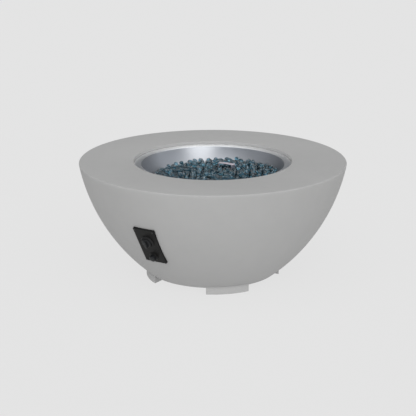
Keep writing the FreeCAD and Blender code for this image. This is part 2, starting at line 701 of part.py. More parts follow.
def spark_rod():
    """Wire through the ceramic that bends out towards the burner ring."""
    low = PAN_FLOOR_Z - CERAMIC_DOWN - SPARK_ROD_DOWN
    bend_z = PAN_FLOOR_Z + CERAMIC_UP + SPARK_ROD_UP
    reach = BURNER_R - HOOD_R - TUBE_R - SPARK_GAP
    return pipe([V(0, 0, low), V(0, 0, bend_z), V(reach, 0, bend_z)], SPARK_ROD_R)


def flame_probe():
    """Thermocouple tip: a steel tube with a rounded end."""
    low, high = PAN_FLOOR_Z - PROBE_DOWN, PAN_FLOOR_Z + PROBE_UP
    shape = rod(PROBE_R, low, high)
    top = [e for e in shape.Edges if e.BoundBox.ZMin > high - 1]
    return shape.makeFillet(PROBE_R * 0.8, top)


# ------------------------------------------------------------------ fire glass

def glass_mounds(reach):
    """Low round mounds in the spread glass, on a spiral, as whole balls that rise above a plane."""
    golden = (math.sqrt(5) - 1) / 2
    balls = []
    for i in range(int((reach / MOUND_STEP) ** 2)):
        distance, turn = MOUND_STEP * math.sqrt(i + 0.5), math.radians(360 * golden * i)
        height = MOUND_H * (MOUND_LOW + (1 - MOUND_LOW) * (i * golden % 1))
        radius = (MOUND_R ** 2 + height ** 2) / (2 * height)
        centre = V(distance * math.cos(turn), distance * math.sin(turn), height - radius)
        balls.append(Part.makeSphere(radius, centre, V(0, -1, 0)))
    return balls


def fire_glass():
    """Raked bed of glass pebbles, as the space that they fill round the burner."""
    gap = BED_GAP
    low = PAN_FLOOR_Z + gap
    floor_r = PAN_FLOOR_R - 2 * gap
    top = PAN_LIP_Z - 8.0
    top_r = floor_r + (top - low) * PAN_SLOPE
    bed = revolved(rounded_outline([(0, low, 0), (floor_r, low, PAN_FLOOR_BEND + gap),
                                    (top_r, top, 0), (0, top, 0)]))
    side = math.radians(BED_HIGH_SIDE)
    rake = FreeCAD.Placement(V(0, 0, PAN_FLOOR_Z + BED_H),
                             FreeCAD.Rotation(V(-math.sin(side), math.cos(side), 0), -BED_TILT))
    air = rod(2 * PAN_MOUTH_R, 0, PAN_DEPTH).cut(glass_mounds(floor_r - MOUND_R))
    bed = bed.cut(place(air, rake))
    level = PAN_FLOOR_Z + TUBE_LIFT
    across = FreeCAD.Placement(V(0, 0, level), FreeCAD.Rotation(V(0, 1, 0), 90))
    bed = bed.cut(Part.makeTorus(BURNER_R, TUBE_R + gap, V(0, 0, level)))
    bed = bed.cut(place(rod(CROSS_TUBE_R + gap, -BURNER_R, BURNER_R), across))
    bed = bed.cut(rod(HUB_R + gap, PAN_FLOOR_Z, PAN_FLOOR_Z + HUB_H + gap))
    tab = 2 * math.degrees((HOOD_TAB + 1) / HOOD_R)
    bed = bed.cut(arc_strip(HOOD_R, HOOD_W + 2, HOOD_SPAN + tab, PAN_FLOOR_Z, HOOD_TOP, PILOT_ANGLE))
    return bed


# ------------------------------------------------------------------ control panel and gas control

def control_panel():
    """Black moulding with a flat face over the window; its rim meets the bowl's side all round."""
    back = -PANEL_SCREW_L
    plate = block(PANEL_W, PANEL_H, back, PANEL_FRONT, PANEL_CORNER)
    recess = block(PANEL_W - 2 * PANEL_LAND, PANEL_H - 2 * PANEL_LAND, back - 1, PANEL_GAP, WINDOW_CORNER)
    panel = place(plate.cut(recess), PANEL).cut(side_skin(-60, PANEL_GAP))
    for spot in panel_screw_places():
        panel = panel.cut(place(rod(PANEL_SCREW_R + SCREW_PLAY, back, 10), spot))
    panel = panel.cut(place(rod(SPINDLE_R + 2 * SCREW_PLAY, -10, 10), KNOB))
    for spot in valve_screw_places():
        panel = panel.cut(place(rod(VALVE_SCREW_R + SCREW_PLAY, -10, 10), spot))
    return panel.cut(place(rod(BARREL_R + SCREW_PLAY, -10, 10), BUTTON))


def valve_screw_places():
    return [KNOB.multiply(FreeCAD.Placement(V(side * VALVE_SCREW_OUT, 0, 0), FreeCAD.Rotation()))
            for side in (-1, 1)]


BODY_FRONT = -VALVE_SEAT - VALVE_FLANGE_T - VALVE_NECK_L
BODY_BACK = BODY_FRONT - VALVE_BODY[2]
BOSS_LEVEL = (BODY_FRONT + BODY_BACK) / 2
CHAMBER_TOP = BODY_FRONT + 2.0
COLLAR_TOP = CHAMBER_TOP - 2 * FIT
KNOB_BACK = PANEL_FRONT + VALVE_SCREW_HEAD_H + KNOB_TRAVEL + 2 * SCREW_PLAY


def sideways(side):
    """Placement of a side boss's mouth: Z points away from the valve."""
    return FreeCAD.Placement(V(side * BOSS_OUT, 0, BOSS_LEVEL), FreeCAD.Rotation(V(0, 1, 0), 90 * side))


def gas_valve():
    """Die-cast valve body with its flange, neck and two side bosses."""
    width, depth, length = VALVE_BODY
    body = block(width, depth, BODY_BACK, BODY_FRONT, VALVE_ROUND)
    body = body.fuse(rod(VALVE_NECK_R, BODY_FRONT, -VALVE_SEAT))
    body = body.fuse(rod(VALVE_FLANGE_R, -VALVE_SEAT - VALVE_FLANGE_T, -VALVE_SEAT))
    for side in (-1, 1):
        boss = rod(BOSS_R, -BOSS_OUT, 0)
        body = body.fuse(place(boss, sideways(side)))
    body = body.removeSplitter()
    body = body.cut(rod(SPINDLE_R + FIT, CHAMBER_TOP - 1, 1))
    body = body.cut(rod(CHAMBER_R, CHAMBER_TOP - CHAMBER_L, CHAMBER_TOP))
    for side in (-1, 1):
        body = body.cut(place(rod(FLARE_BORE, -BOSS_OUT + CHAMBER_R, 1), sideways(side)))
    for spot in (-VALVE_SCREW_OUT, VALVE_SCREW_OUT):
        body = body.cut(rod(VALVE_SCREW_R + FIT, -2 * VALVE_FLANGE_T, 1, spot))
    for side in (-1, 1):
        body = body.fuse(place(male_flare(), sideways(side)))
    return place(body.removeSplitter(), KNOB)


def safety_magnet():
    """Brass magnet unit on the valve's back, held open by the flame probe."""
    low = BODY_BACK - MAGNET_L
    shape = hexagon(MAGNET_AF, low, BODY_BACK)
    return place(shape.fuse(rod(MAGNET_TAIL_R, low - MAGNET_TAIL_L, low)).removeSplitter(), KNOB)


def probe_nut():
    end = BODY_BACK - MAGNET_L - MAGNET_TAIL_L
    top, low = end + PROBE_NUT_GRIP, end - PROBE_NUT_TAIL
    nut = hexagon(PROBE_NUT_AF, low, top).cut(rod(MAGNET_TAIL_R + FIT, end, top + 1))
    return place(nut.cut(rod(THERMO_LEAD_R + FIT, low - 1, end + 1)), KNOB)


def valve_screw():
    return screw(VALVE_SCREW_HEAD_R, VALVE_SCREW_HEAD_H, VALVE_SCREW_R,
                 PANEL_FRONT + VALVE_SEAT + VALVE_FLANGE_T)


def valve_spindle():
    """Steel spindle with a flat on its outer end and a stop collar in the valve's chamber."""
    outer = KNOB_BACK + KNOB_H - KNOB_FACE_T
    shape = rod(SPINDLE_R, COLLAR_TOP - COLLAR_T, outer)
    shape = shape.fuse(rod(COLLAR_R, COLLAR_TOP - COLLAR_T, COLLAR_TOP)).removeSplitter()
    flat = Part.makeBox(4 * SPINDLE_R, SPINDLE_R, outer - KNOB_BACK,
                        V(-2 * SPINDLE_R, SPINDLE_R - SPINDLE_FLAT, KNOB_BACK + 1))
    return place(shape.cut(flat), KNOB)


PLUNGER_TOP = COLLAR_TOP - COLLAR_T - FIT


def valve_plunger():
    """Push rod under the spindle: it goes in with the knob but doesn't turn."""
    shape = rod(COLLAR_R, PLUNGER_TOP - COLLAR_T, PLUNGER_TOP)
    return place(shape.fuse(rod(PLUNGER_R, PLUNGER_TOP - PLUNGER_L, PLUNGER_TOP)).removeSplitter(), KNOB)


def plunger_spring():
    low = CHAMBER_TOP - CHAMBER_L + 0.2
    high = PLUNGER_TOP - COLLAR_T - 0.2
    middle = (PLUNGER_R + CHAMBER_R) / 2
    return place(spring(middle, SPRING_WIRE_R, low, high, 7), KNOB)


def control_knob():
    """Black knob: a round skirt with a grip bar across its face and a blind bore for the spindle."""
    skirt_top = KNOB_BACK + KNOB_H - GRIP_H
    top = KNOB_BACK + KNOB_H
    skirt = revolved(rounded_outline([(0, KNOB_BACK, 0), (KNOB_R, KNOB_BACK, 0.6),
                                      (KNOB_R - SKIRT_TAPER, skirt_top, SKIRT_ROUND),
                                      (0, skirt_top, 0)]))
    grip = block(GRIP_W, 2 * (KNOB_R - GRIP_ROUND), skirt_top - 2, top, GRIP_W * 0.45)
    rim = [e for e in grip.Edges if e.BoundBox.ZMin > top - 0.1]
    grip = grip.makeFillet(GRIP_ROUND, rim)
    knob = skirt.fuse(grip).removeSplitter()
    bore_end = KNOB_BACK + KNOB_H - KNOB_FACE_T + FIT
    bore = rod(SPINDLE_R + FIT, KNOB_BACK - 1, bore_end)
    bore = bore.cut(Part.makeBox(4 * SPINDLE_R, SPINDLE_R, bore_end - KNOB_BACK + 2,
                                 V(-2 * SPINDLE_R, SPINDLE_R - SPINDLE_FLAT + FIT, KNOB_BACK + 1 + FIT)))
    return place(knob.cut(bore), KNOB)


def trimmed_to_panel(shape, frame):
    """Cuts what lies behind the panel's front face from a piece that sits on it, and places it."""
    face = block(PANEL_W, PANEL_W, -60, PANEL_FRONT + FIT, PANEL_CORNER)
    return place(shape.cut(face), frame)


def knob_bezel():
    """Ring on the panel round the knob."""
    top = PANEL_FRONT + BEZEL_H
    ring = revolved(rounded_outline([
        (BEZEL_BORE, 0, 0), (BEZEL_R, 0, 0), (BEZEL_R, top - BEZEL_TAPER_H, 0.8),
        (BEZEL_R - BEZEL_TAPER, top, 0.8), (BEZEL_BORE, top, 0.5)]))
    return trimmed_to_panel(ring, KNOB)


# ------------------------------------------------------------------ igniter

BUTTON_FRONT = PANEL_FRONT + BUTTON_PROUD
BUTTON_BACK = BUTTON_FRONT - BUTTON_L
BUTTON_STEP = BUTTON_BACK - BUTTON_TRAVEL - STEP_ROOM
CELL_LOW = BARREL_END_T - BARREL_L
CELL_TOP = CELL_LOW + CELL_L


def igniter_barrel():
    """Moulded housing: a flange on the panel, the button's bore and the cell's bore behind it."""
    over = PANEL_FRONT + BARREL_FLANGE_H
    front = revolved(rounded_outline([
        (0, 0, 0), (BARREL_FLANGE_R, 0, 0), (BARREL_FLANGE_R, over - 1.5, 0),
        (BARREL_FLANGE_R - 1.5, over, 0), (0, over, 0)]))
    front = trimmed_to_panel(front, BUTTON)
    body = rod(BARREL_R, -BARREL_L, over - 1)
    body = body.fuse(rod(TERMINAL_R, -BARREL_L - TERMINAL_L, -BARREL_L))
    body = front.fuse(place(body, BUTTON)).removeSplitter()
    body = body.cut(place(rod(BUTTON_R + BUTTON_PLAY, BUTTON_STEP, over + 1), BUTTON))
    return body.cut(place(rod(CELL_R + CELL_PLAY, CELL_LOW, BUTTON_STEP + 1), BUTTON))


def igniter_nut():
    """Ring nut behind the panel."""
    top = -2 * FIT - PANEL_GAP
    ring = tube_piece(NUT_R, BARREL_R + FIT, top - NUT_H, top)
    return place(ring, BUTTON)


def battery_cell():
    """AA cell with its contact stud."""
    cell = rod(CELL_R, CELL_LOW, CELL_TOP - STUD_H).fuse(rod(STUD_R, CELL_LOW, CELL_TOP))
    return place(cell.removeSplitter(), BUTTON)


def igniter_button():
    """Domed push cap, hollow at the back for its spring."""
    cap = revolved(rounded_outline([
        (0, BUTTON_BACK, 0), (BUTTON_R, BUTTON_BACK, 0), (BUTTON_R, BUTTON_FRONT - 1.5, 3.0),
        (BUTTON_R * 0.45, BUTTON_FRONT, 6.0), (0, BUTTON_FRONT, 0)]))
    recess = rod(BUTTON_SPRING_R + 4 * SPRING_WIRE_R, BUTTON_BACK - 1, SPRING_SEAT)
    return place(cap.cut(recess), BUTTON)


def button_spring():
    return place(spring(BUTTON_SPRING_R, SPRING_WIRE_R, CELL_TOP + 0.2, SPRING_SEAT - 0.2, 6), BUTTON)


# ------------------------------------------------------------------ gas inlet

def inlet_spot():
    return turned(INLET_ANGLE, INLET_R)


def bracket_screw_places():
    out = BRACKET_START + BRACKET_FOOT - BRACKET_SCREW_INSET
    across = BRACKET_W / 2 - BRACKET_SCREW_INSET
    spin = turned(INLET_ANGLE)
    return [spin.multiply(FreeCAD.Placement(V(out, side * across, 0), FreeCAD.Rotation()))
            for side in (-1, 1)]


def inlet_bracket():
    """Z-shaped steel strip: foot on the bowl's floor, upright, and arm over the access hole."""
    t = BRACKET_T
    arm_start = INLET_R - BRACKET_W / 2
    start, end = BRACKET_START, BRACKET_START + BRACKET_FOOT
    path = [(arm_start, INLET_ARM_Z - t), (start - t, INLET_ARM_Z - t), (start - t, FLOOR_TOP),
            (end, FLOOR_TOP), (end, FLOOR_TOP + t), (start, FLOOR_TOP + t), (start, INLET_ARM_Z),
            (arm_start, INLET_ARM_Z)]
    face = Part.Face(Part.makePolygon([V(x, -BRACKET_W / 2, z) for x, z in path + path[:1]]))
    strip = place(face.extrude(V(0, BRACKET_W, 0)), turned(INLET_ANGLE))
    hole = rod(FLARE_R + SCREW_PLAY, INLET_ARM_Z - 2 * t, INLET_ARM_Z + t)
    strip = strip.cut(place(hole, inlet_spot()))
    for spot in bracket_screw_places():
        strip = strip.cut(place(rod(BRACKET_SCREW_R + SCREW_PLAY, FLOOR_TOP - 1, FLOOR_TOP + 2 * t), spot))
    return strip


INLET_HEX_TOP = INLET_ARM_Z - BRACKET_T


def inlet_fitting():
    """Brass bulkhead union: hexagon under the arm, one flare down and one up through the arm."""
    hex_low = INLET_HEX_TOP - INLET_HEX_H
    body = hexagon(INLET_HEX_AF, hex_low, INLET_HEX_TOP)
    body = body.cut(rod(FLARE_BORE, hex_low - 1, INLET_HEX_TOP + 1))
    neck = tube_piece(FLARE_R, FLARE_BORE, INLET_HEX_TOP, INLET_ARM_Z + INLET_THREAD_UP)
    up, down = male_flare(), male_flare(-1)
    up.translate(V(0, 0, INLET_ARM_Z + INLET_THREAD_UP))
    down.translate(V(0, 0, hex_low))
    return place(body.fuse([neck, up, down]).removeSplitter(), inlet_spot())


def inlet_locknut():
    low, high = INLET_ARM_Z, INLET_ARM_Z + INLET_NUT_H
    return place(hexagon(INLET_HEX_AF, low, high).cut(rod(FLARE_R + FIT, low - 1, high + 1)), inlet_spot())


def bracket_screw():
    shape = screw(1.85 * BRACKET_SCREW_R, 1.3 * BRACKET_SCREW_R, BRACKET_SCREW_R, BRACKET_SCREW_L - 1)
    shape.translate(V(0, 0, FLOOR_TOP + BRACKET_T))
    return shape


# ------------------------------------------------------------------ hoses and wires

def flare_frames():
    """Places where hoses screw on, with Z along the flare: burner, valve out, valve in, inlet."""
    burner = FreeCAD.Placement(V(0, 0, MIXER_LOW - ORIFICE_HEX), FreeCAD.Rotation(V(1, 0, 0), 180))
    inlet = inlet_spot().multiply(
        FreeCAD.Placement(V(0, 0, INLET_ARM_Z + INLET_THREAD_UP), FreeCAD.Rotation()))
    return burner, KNOB.multiply(sideways(1)), KNOB.multiply(sideways(-1)), inlet


def run_out(frame, start, length):
    """First two points of a hose or lead: its end, and a point straight out along the frame's Z."""
    return [frame.multVec(V(0, 0, start)), frame.multVec(V(0, 0, start + length))]


def slack(first, last, swing, lift, shares):
    """A hose or lead between two straight ends. Each share gives a point part of the way from one
    to the other, and the parts of the sideways swing and of the lift that it has there."""
    start, end = first[-1], last[-1]
    points = [start + (end - start) * way + V(swing * side, 0, lift * up) for way, side, up in shares]
    return first + points + last[::-1]


def burner_hose():
    """Hose from the valve's outlet, down in a loop under the pan, up to the burner's jet."""
    burner, valve_out, _, _ = flare_frames()
    first, last = (run_out(f, FLARE_L + FIT, HOSE_STRAIGHT) for f in (valve_out, burner))
    shares = [(0.21, 1.0, 0.14), (0.41, 0.86, 0.69), (0.62, 0.1, 0.96), (0.82, -0.14, 1.0),
              (0.98, 0.0, 0.69)]
    return pipe(slack(first, last, HOSE_SWING, -HOSE_SAG, shares), HOSE_R)


def inlet_hose():
    """Hose from the inlet union up to the valve's inlet."""
    _, _, valve_in, inlet = flare_frames()
    first, last = (run_out(f, FLARE_L + FIT, HOSE_STRAIGHT) for f in (inlet, valve_in))
    shares = [(0.17, 0.08, 1.0), (0.45, 0.68, 0.8), (0.71, 1.0, 0.45)]
    return pipe(slack(first, last, -INLET_HOSE_SWING, INLET_HOSE_RISE, shares), HOSE_R)


def boot_places():
    """Rubber boots on the igniter's terminal and on the spark rod's lower end, Z away from them."""
    _, electrode, _ = pilot_spots()
    down = FreeCAD.Rotation(V(1, 0, 0), 180)
    terminal = FreeCAD.Placement(V(0, 0, -BARREL_L - 1), down)
    below = FreeCAD.Placement(V(0, 0, PAN_FLOOR_Z - CERAMIC_DOWN + BOOT_GRIP), down)
    return BUTTON.multiply(terminal), electrode.multiply(below)


def boot(post_r, post_l):
    """Boot over a post, with a bore for the lead from its other end."""
    shape = rod(BOOT_R, 0, BOOT_L)
    shape = shape.cut(rod(post_r + FIT, -1, post_l + FIT))
    return shape.cut(rod(LEAD_R + FIT, post_l, BOOT_L + 1))


def lead_boots():
    at_terminal, at_rod = boot_places()
    first = boot(TERMINAL_R, TERMINAL_L - 1)
    second = boot(CERAMIC_R, BOOT_GRIP)
    return [place(first, at_terminal), place(second, at_rod)]


def ignition_lead():
    """High-voltage lead from the igniter to the spark electrode, tied along under the pan."""
    at_terminal, at_rod = boot_places()
    first = run_out(at_terminal, TERMINAL_L, BOOT_L - TERMINAL_L + LEAD_STRAIGHT)
    rod_end = BOOT_GRIP + SPARK_ROD_DOWN + 1
    last = run_out(at_rod, rod_end, BOOT_L - rod_end + LEAD_STRAIGHT - BOOT_GRIP)
    shares = [(0.09, 0.5, 0.81), (0.27, 0.92, 1.0), (0.48, 1.0, 0.88), (0.68, 0.89, 0.6),
              (0.86, 0.51, 0.21)]
    return pipe(slack(first, last, -LEAD_SWING, LEAD_RISE, shares), LEAD_R)


def thermocouple_lead():
    """Copper tube from the flame probe to the magnet unit."""
    _, _, probe = pilot_spots()
    end = BODY_BACK - MAGNET_L - MAGNET_TAIL_L - FIT
    low = PAN_FLOOR_Z - PROBE_DOWN - FIT
    first = run_out(KNOB, end, -THERMO_STRAIGHT)
    last = run_out(probe, low, -THERMO_STRAIGHT)
    shares = [(0.24, 0.5, 0.84), (0.41, 0.86, 1.0), (0.61, 1.0, 0.73), (0.8, 0.89, 0.35)]
    return pipe(slack(first, last, THERMO_SWING, THERMO_RISE, shares), THERMO_LEAD_R)


# ------------------------------------------------------------------ export

def group(shape, places):
    """Copies of one fastener, as separate solids."""
    return [place(shape, spot) for spot in places]


def save(name, shapes):
    """One STEP file per node; a list is a group of separate solids."""
    whole = shapes if not isinstance(shapes, list) else Part.makeCompound(shapes)
    for solid in whole.Solids:
        assert solid.isValid() and solid.Volume > 0, name
    whole.exportStep("parts/%s.step" % name)
    print("%-20s solids %2d  volume %.1f cm3" % (name, len(whole.Solids), whole.Volume / 1000))


def main():
    os.makedirs("parts", exist_ok=True)
    bolt_pairs = foot_bolt_places()
    all_bolts = [spot for pair in bolt_pairs for spot in pair]
    washer = tube_piece(WASHER_R, FOOT_BOLT_R + SCREW_PLAY, FLOOR_TOP, FLOOR_TOP + WASHER_T)
    pilot_screws, electrode, probe = pilot_spots()
    lifted = FreeCAD.Placement(V(0, 0, PANEL_FRONT), FreeCAD.Rotation())
    panel_heads = [spot.multiply(lifted) for spot in panel_screw_places()]
    valve_heads = [spot.multiply(lifted) for spot in valve_screw_places()]
    panel_screw = screw(PANEL_SCREW_HEAD_R, PANEL_SCREW_HEAD_H, PANEL_SCREW_R, PANEL_SCREW_L)

    save("bowl_shell", bowl_shell())
    for name, angle, bolts in zip(FOOT_NAMES, FOOT_ANGLES, bolt_pairs):
        save(name, foot(angle, bolts))
    save("foot_bolts", group(foot_bolt(), all_bolts))
    save("foot_washers", group(washer, all_bolts))

    save("burner_pan", burner_pan())
    save("ring_burner", ring_burner())
    save("gas_nipple", gas_nipple())
    save("pan_locknut", pan_locknut())
    save("air_mixer", air_mixer())
    save("gas_orifice", gas_orifice())
    save("fire_glass", fire_glass())

    save("pilot_bracket", pilot_bracket())
    save("flame_hood", flame_hood())
    save("pilot_screws", group(pilot_screw(), pilot_screws))
    save("pilot_nuts", group(pilot_nut(), pilot_screws))
    save("electrode_ceramic", place(electrode_ceramic(), electrode))
    save("spark_rod", place(spark_rod(), electrode))
    save("flame_probe", place(flame_probe(), probe))

    save("control_panel", control_panel())
    save("panel_screws", group(panel_screw, panel_heads))
    save("knob_bezel", knob_bezel())
    save("gas_valve", gas_valve())
    save("valve_screws", group(valve_screw(), valve_heads))
    save("safety_magnet", safety_magnet())
    save("probe_nut", probe_nut())
    save("valve_plunger", valve_plunger())
    save("plunger_spring", plunger_spring())
    save("valve_spindle", valve_spindle())
    save("control_knob", control_knob())

    save("igniter_barrel", igniter_barrel())
    save("igniter_nut", igniter_nut())
    save("battery_cell", battery_cell())
    save("button_spring", button_spring())
    save("igniter_button", igniter_button())

    save("inlet_bracket", inlet_bracket())
    save("inlet_fitting", inlet_fitting())
    save("inlet_locknut", inlet_locknut())
    save("bracket_screws", group(bracket_screw(), bracket_screw_places()))
    save("hose_nuts", group(hose_nut(), flare_frames()))
    save("burner_hose", burner_hose())
    save("inlet_hose", inlet_hose())
    save("lead_boots", lead_boots())
    save("ignition_lead", ignition_lead())
    save("thermocouple_lead", thermocouple_lead())


main()
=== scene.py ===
import math
import random

import bmesh
import bpy
from mathutils import Matrix, Vector


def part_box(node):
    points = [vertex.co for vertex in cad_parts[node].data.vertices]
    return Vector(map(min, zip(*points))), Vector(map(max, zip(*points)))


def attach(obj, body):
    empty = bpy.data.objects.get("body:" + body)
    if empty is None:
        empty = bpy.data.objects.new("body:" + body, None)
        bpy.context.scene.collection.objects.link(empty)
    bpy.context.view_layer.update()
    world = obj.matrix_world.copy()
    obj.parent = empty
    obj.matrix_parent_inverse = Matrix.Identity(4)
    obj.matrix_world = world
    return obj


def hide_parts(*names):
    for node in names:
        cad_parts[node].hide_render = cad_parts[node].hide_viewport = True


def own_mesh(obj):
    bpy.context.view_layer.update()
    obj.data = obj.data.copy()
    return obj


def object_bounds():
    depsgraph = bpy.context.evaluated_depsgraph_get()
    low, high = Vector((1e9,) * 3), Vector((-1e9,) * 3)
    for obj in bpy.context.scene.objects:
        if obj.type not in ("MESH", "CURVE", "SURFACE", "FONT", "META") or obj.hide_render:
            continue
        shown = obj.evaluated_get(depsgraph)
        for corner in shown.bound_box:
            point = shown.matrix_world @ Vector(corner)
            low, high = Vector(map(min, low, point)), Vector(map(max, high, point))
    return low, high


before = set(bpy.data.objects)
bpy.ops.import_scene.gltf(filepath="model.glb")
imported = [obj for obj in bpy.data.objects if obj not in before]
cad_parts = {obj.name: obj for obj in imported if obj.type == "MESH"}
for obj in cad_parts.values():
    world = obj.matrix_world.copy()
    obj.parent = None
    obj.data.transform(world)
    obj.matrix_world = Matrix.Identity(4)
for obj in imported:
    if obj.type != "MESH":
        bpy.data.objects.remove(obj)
cad_low, cad_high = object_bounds()
bpy.context.scene.view_settings.view_transform = "Standard"

# Studio camera. A long lens from a little above the rim, in front of the bowl and to the right
# of its control panel.

bowl_top = cad_high.z


def heading(turn, tip):
    """Direction from the bowl, in degrees round it from the front and above the floor."""
    a, e = math.radians(turn), math.radians(tip)
    return Vector((math.sin(a) * math.cos(e), -math.cos(a) * math.cos(e), math.sin(e)))


view_turn, view_tip = 32.2, 16.365
bowl_right, bowl_up = 0.0191, 0.1939
camera_away, camera_lens, film_width = 5.1386, 111.38, 36.0

to_camera = heading(view_turn, view_tip)
camera_turn = to_camera.to_track_quat("Z", "Y")
camera_aim = Vector((0, 0, bowl_top)) - camera_turn @ Vector((bowl_right, bowl_up, 0))

camera = bpy.data.objects.new("camera", bpy.data.cameras.new("camera"))
camera.data.sensor_width = film_width
camera.data.lens = camera_lens
camera.rotation_mode = "QUATERNION"
camera.rotation_quaternion = camera_turn
camera.location = camera_aim + camera_away * to_camera
bpy.context.scene.collection.objects.link(camera)
bpy.context.scene.camera = camera

# Cast concrete bowl. Glass-fibre concrete laid up 19 mm thick in a polished mould: a half-round
# side that is one arc in section, a broad flat top ring with a stepped opening for the pan, and a
# floor with a round hole for the gas supply. The window behind the control panel and the holes
# for screws and bolts are cut afterwards.

rim_r, base_r, base_z = 0.5334, 0.2617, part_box("bowl_shell")[0].z
side_r, side_wall = 0.7454, 0.019
ring_t, floor_t, lip_fall = 0.032, 0.024, 0.088
rim_round, mouth_round, cast_round = 0.005, 0.003, 0.0015
mouth_r, ledge_z, ledge_r, access_r = 0.315, 0.4609, 0.295, 0.150

side_chord = Vector((rim_r - base_r, bowl_top - base_z))
arc_back = math.sqrt(side_r ** 2 - side_chord.length_squared / 4) / side_chord.length
arc_x = (rim_r + base_r) / 2 - arc_back * side_chord.y
arc_z = (bowl_top + base_z) / 2 + arc_back * side_chord.x


class Value:
    """A number, colour or vector that varies over a surface. Sums and products add Math nodes."""

    def __init__(self, finish, output):
        self.finish, self.output = finish, output

    def math(self, operation, *terms):
        return self.finish.node("Math", {"operation": operation}, dict(enumerate(terms)))

    def __add__(self, other):
        return self.math("ADD", self, other)

    def __sub__(self, other):
        return self.math("SUBTRACT", self, other)

    def __rsub__(self, other):
        return self.math("SUBTRACT", other, self)

    def __mul__(self, other):
        return self.math("MULTIPLY", self, other)

    def __gt__(self, other):
        return self.math("GREATER_THAN", self, other)

    __radd__ = __add__
    __rmul__ = __mul__


class Shading:
    """The nodes that vary a surface or the light of the room."""

    def __init__(self, tree):
        self.tree = tree

    def node(self, kind, settings={}, inputs={}, output=0):
        made = self.tree.nodes.new("ShaderNode" + kind)
        for key, value in settings.items():
            setattr(made, key, value)
        for key, value in inputs.items():
            self.join(made.inputs[key], value)
        return Value(self, made.outputs[output])

    def join(self, socket, value):
        if isinstance(value, Value):
            self.tree.links.new(value.output, socket)
        elif isinstance(value, tuple) and len(socket.default_value) == 4:
            socket.default_value = (*value, 1)
        else:
            socket.default_value = value

    def along(self, vector, direction):
        """How far a vector goes in a direction."""
        return self.node("VectorMath", {"operation": "DOT_PRODUCT"}, {0: vector, 1: direction},
                         "Value")

    def blend(self, factor, first, second):
        """A colour between two others."""
        return self.node("Mix", {"data_type": "RGBA"}, {"Factor": factor, 6: first, 7: second}, 2)

    def ramp(self, value, start, end):
        """Goes smoothly from the first to the second of two levels while a value passes two limits."""
        return self.node("MapRange", {"interpolation_type": "SMOOTHSTEP"},
                         dict(enumerate((value, *start, *end))))


class Finish(Shading):
    """A surface finish: one Principled shader and the nodes that vary it over the surface."""

    def __init__(self, name, **constants):
        self.material = bpy.data.materials.new(name)
        self.material.use_nodes = True
        super().__init__(self.material.node_tree)
        self.shader = self.tree.nodes["Principled BSDF"]
        self.place = self.node("TexCoord", output="Object")
        for word, value in constants.items():
            self.feed(word.replace("_", " ").title().replace("Ior", "IOR"), value)

    def feed(self, word, value):
        self.join(self.shader.inputs[word], value)

    def noise(self, scale, detail=2.0):
        return self.node("TexNoise", {}, {"Vector": self.place, "Scale": scale, "Detail": detail}, "Fac")

    def emboss(self, height, depth):
        """Raises the surface by a height from 0 to 1, times a depth in metres."""
        bump = {"Height": height, "Distance": depth, "Strength": 1.0}
        self.feed("Normal", self.node("Bump", {}, bump, "Normal"))


def bend(x, z, radius, start, end, steps):
    """Points along an arc of a profile: centre, radius, and angles in degrees from +X."""
    turns = [math.radians(start + (end - start) * i / steps) for i in range(steps + 1)]
    return [(x + radius * math.cos(a), z + radius * math.sin(a)) for a in turns]


def turned(points, steps, sweep=360.0, start=0.0, closed=True):
    """A bmesh made by turning a profile of (radius, height) points about the Z axis."""
    bm = bmesh.new()
    spots = [bm.verts.new((x, 0, z)) for x, z in points]
    pairs = zip(spots, spots[1:] + spots[:1]) if closed else zip(spots, spots[1:])
    edges = [bm.edges.new(pair) for pair in pairs]
    bmesh.ops.rotate(bm, verts=spots, cent=(0, 0, 0),
                     matrix=Matrix.Rotation(math.radians(start), 3, "Z"))
    full = sweep == 360.0
    bmesh.ops.spin(bm, geom=spots + edges, cent=(0, 0, 0), axis=(0, 0, 1), steps=steps,
                   angle=math.radians(sweep), use_merge=full)
    bmesh.ops.remove_doubles(bm, verts=bm.verts, dist=1e-6)
    if closed and not full:
        bmesh.ops.holes_fill(bm, edges=[e for e in bm.edges if e.is_boundary])
    bmesh.ops.recalc_face_normals(bm, faces=bm.faces)
    return bm


def cylinder(bm, radius, low, high, place, sides=32):
    """Adds a closed cylinder between two heights of a placement."""
    middle = place @ Matrix.Translation((0, 0, (low + high) / 2))
    bmesh.ops.create_cone(bm, cap_ends=True, segments=sides, radius1=radius, radius2=radius,
                          depth=high - low, matrix=middle)


def round_about(degrees, distance, height=0.0):
    """Placement at an angle round the bowl's axis and a distance out."""
    spin = Matrix.Rotation(math.radians(degrees), 4, "Z")
    return spin @ Matrix.Translation((distance, 0, height))


def on_panel(across, along):
    """Placement on the plane that touches the side at the panel's centre: Z outwards, Y up."""
    reach = Vector((arc_x + side_r * math.cos(panel_angle), arc_z - side_r * math.sin(panel_angle)))
    lean = Matrix.Rotation(math.pi / 2 + panel_angle, 4, "X")
    return Matrix.Translation((0, -reach.x, reach.y)) @ lean @ Matrix.Translation((across, along, 0))


def panel_corners():
    """Placements of the four panel screws."""
    across, up = panel_w / 2 - panel_screw_in, panel_h / 2 - panel_screw_in
    return [on_panel(side * across, row * up) for row in (-1, 1) for side in (-1, 1)]


def piece(name, bm, finish, body, stands_for, crease=30.0):
    """Makes the finished object, which rides on a body and stands for CAD nodes of one slot."""
    mesh = bpy.data.meshes.new(name)
    bm.to_mesh(mesh)
    bm.free()
    mesh.polygons.foreach_set("use_smooth", [True] * len(mesh.polygons))
    mesh.set_sharp_from_angle(angle=math.radians(crease))
    mesh.materials.append(finish.material)
    made = bpy.data.objects.new(name, mesh)
    bpy.context.scene.collection.objects.link(made)
    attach(made, body)
    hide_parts(*stands_for)
    return made


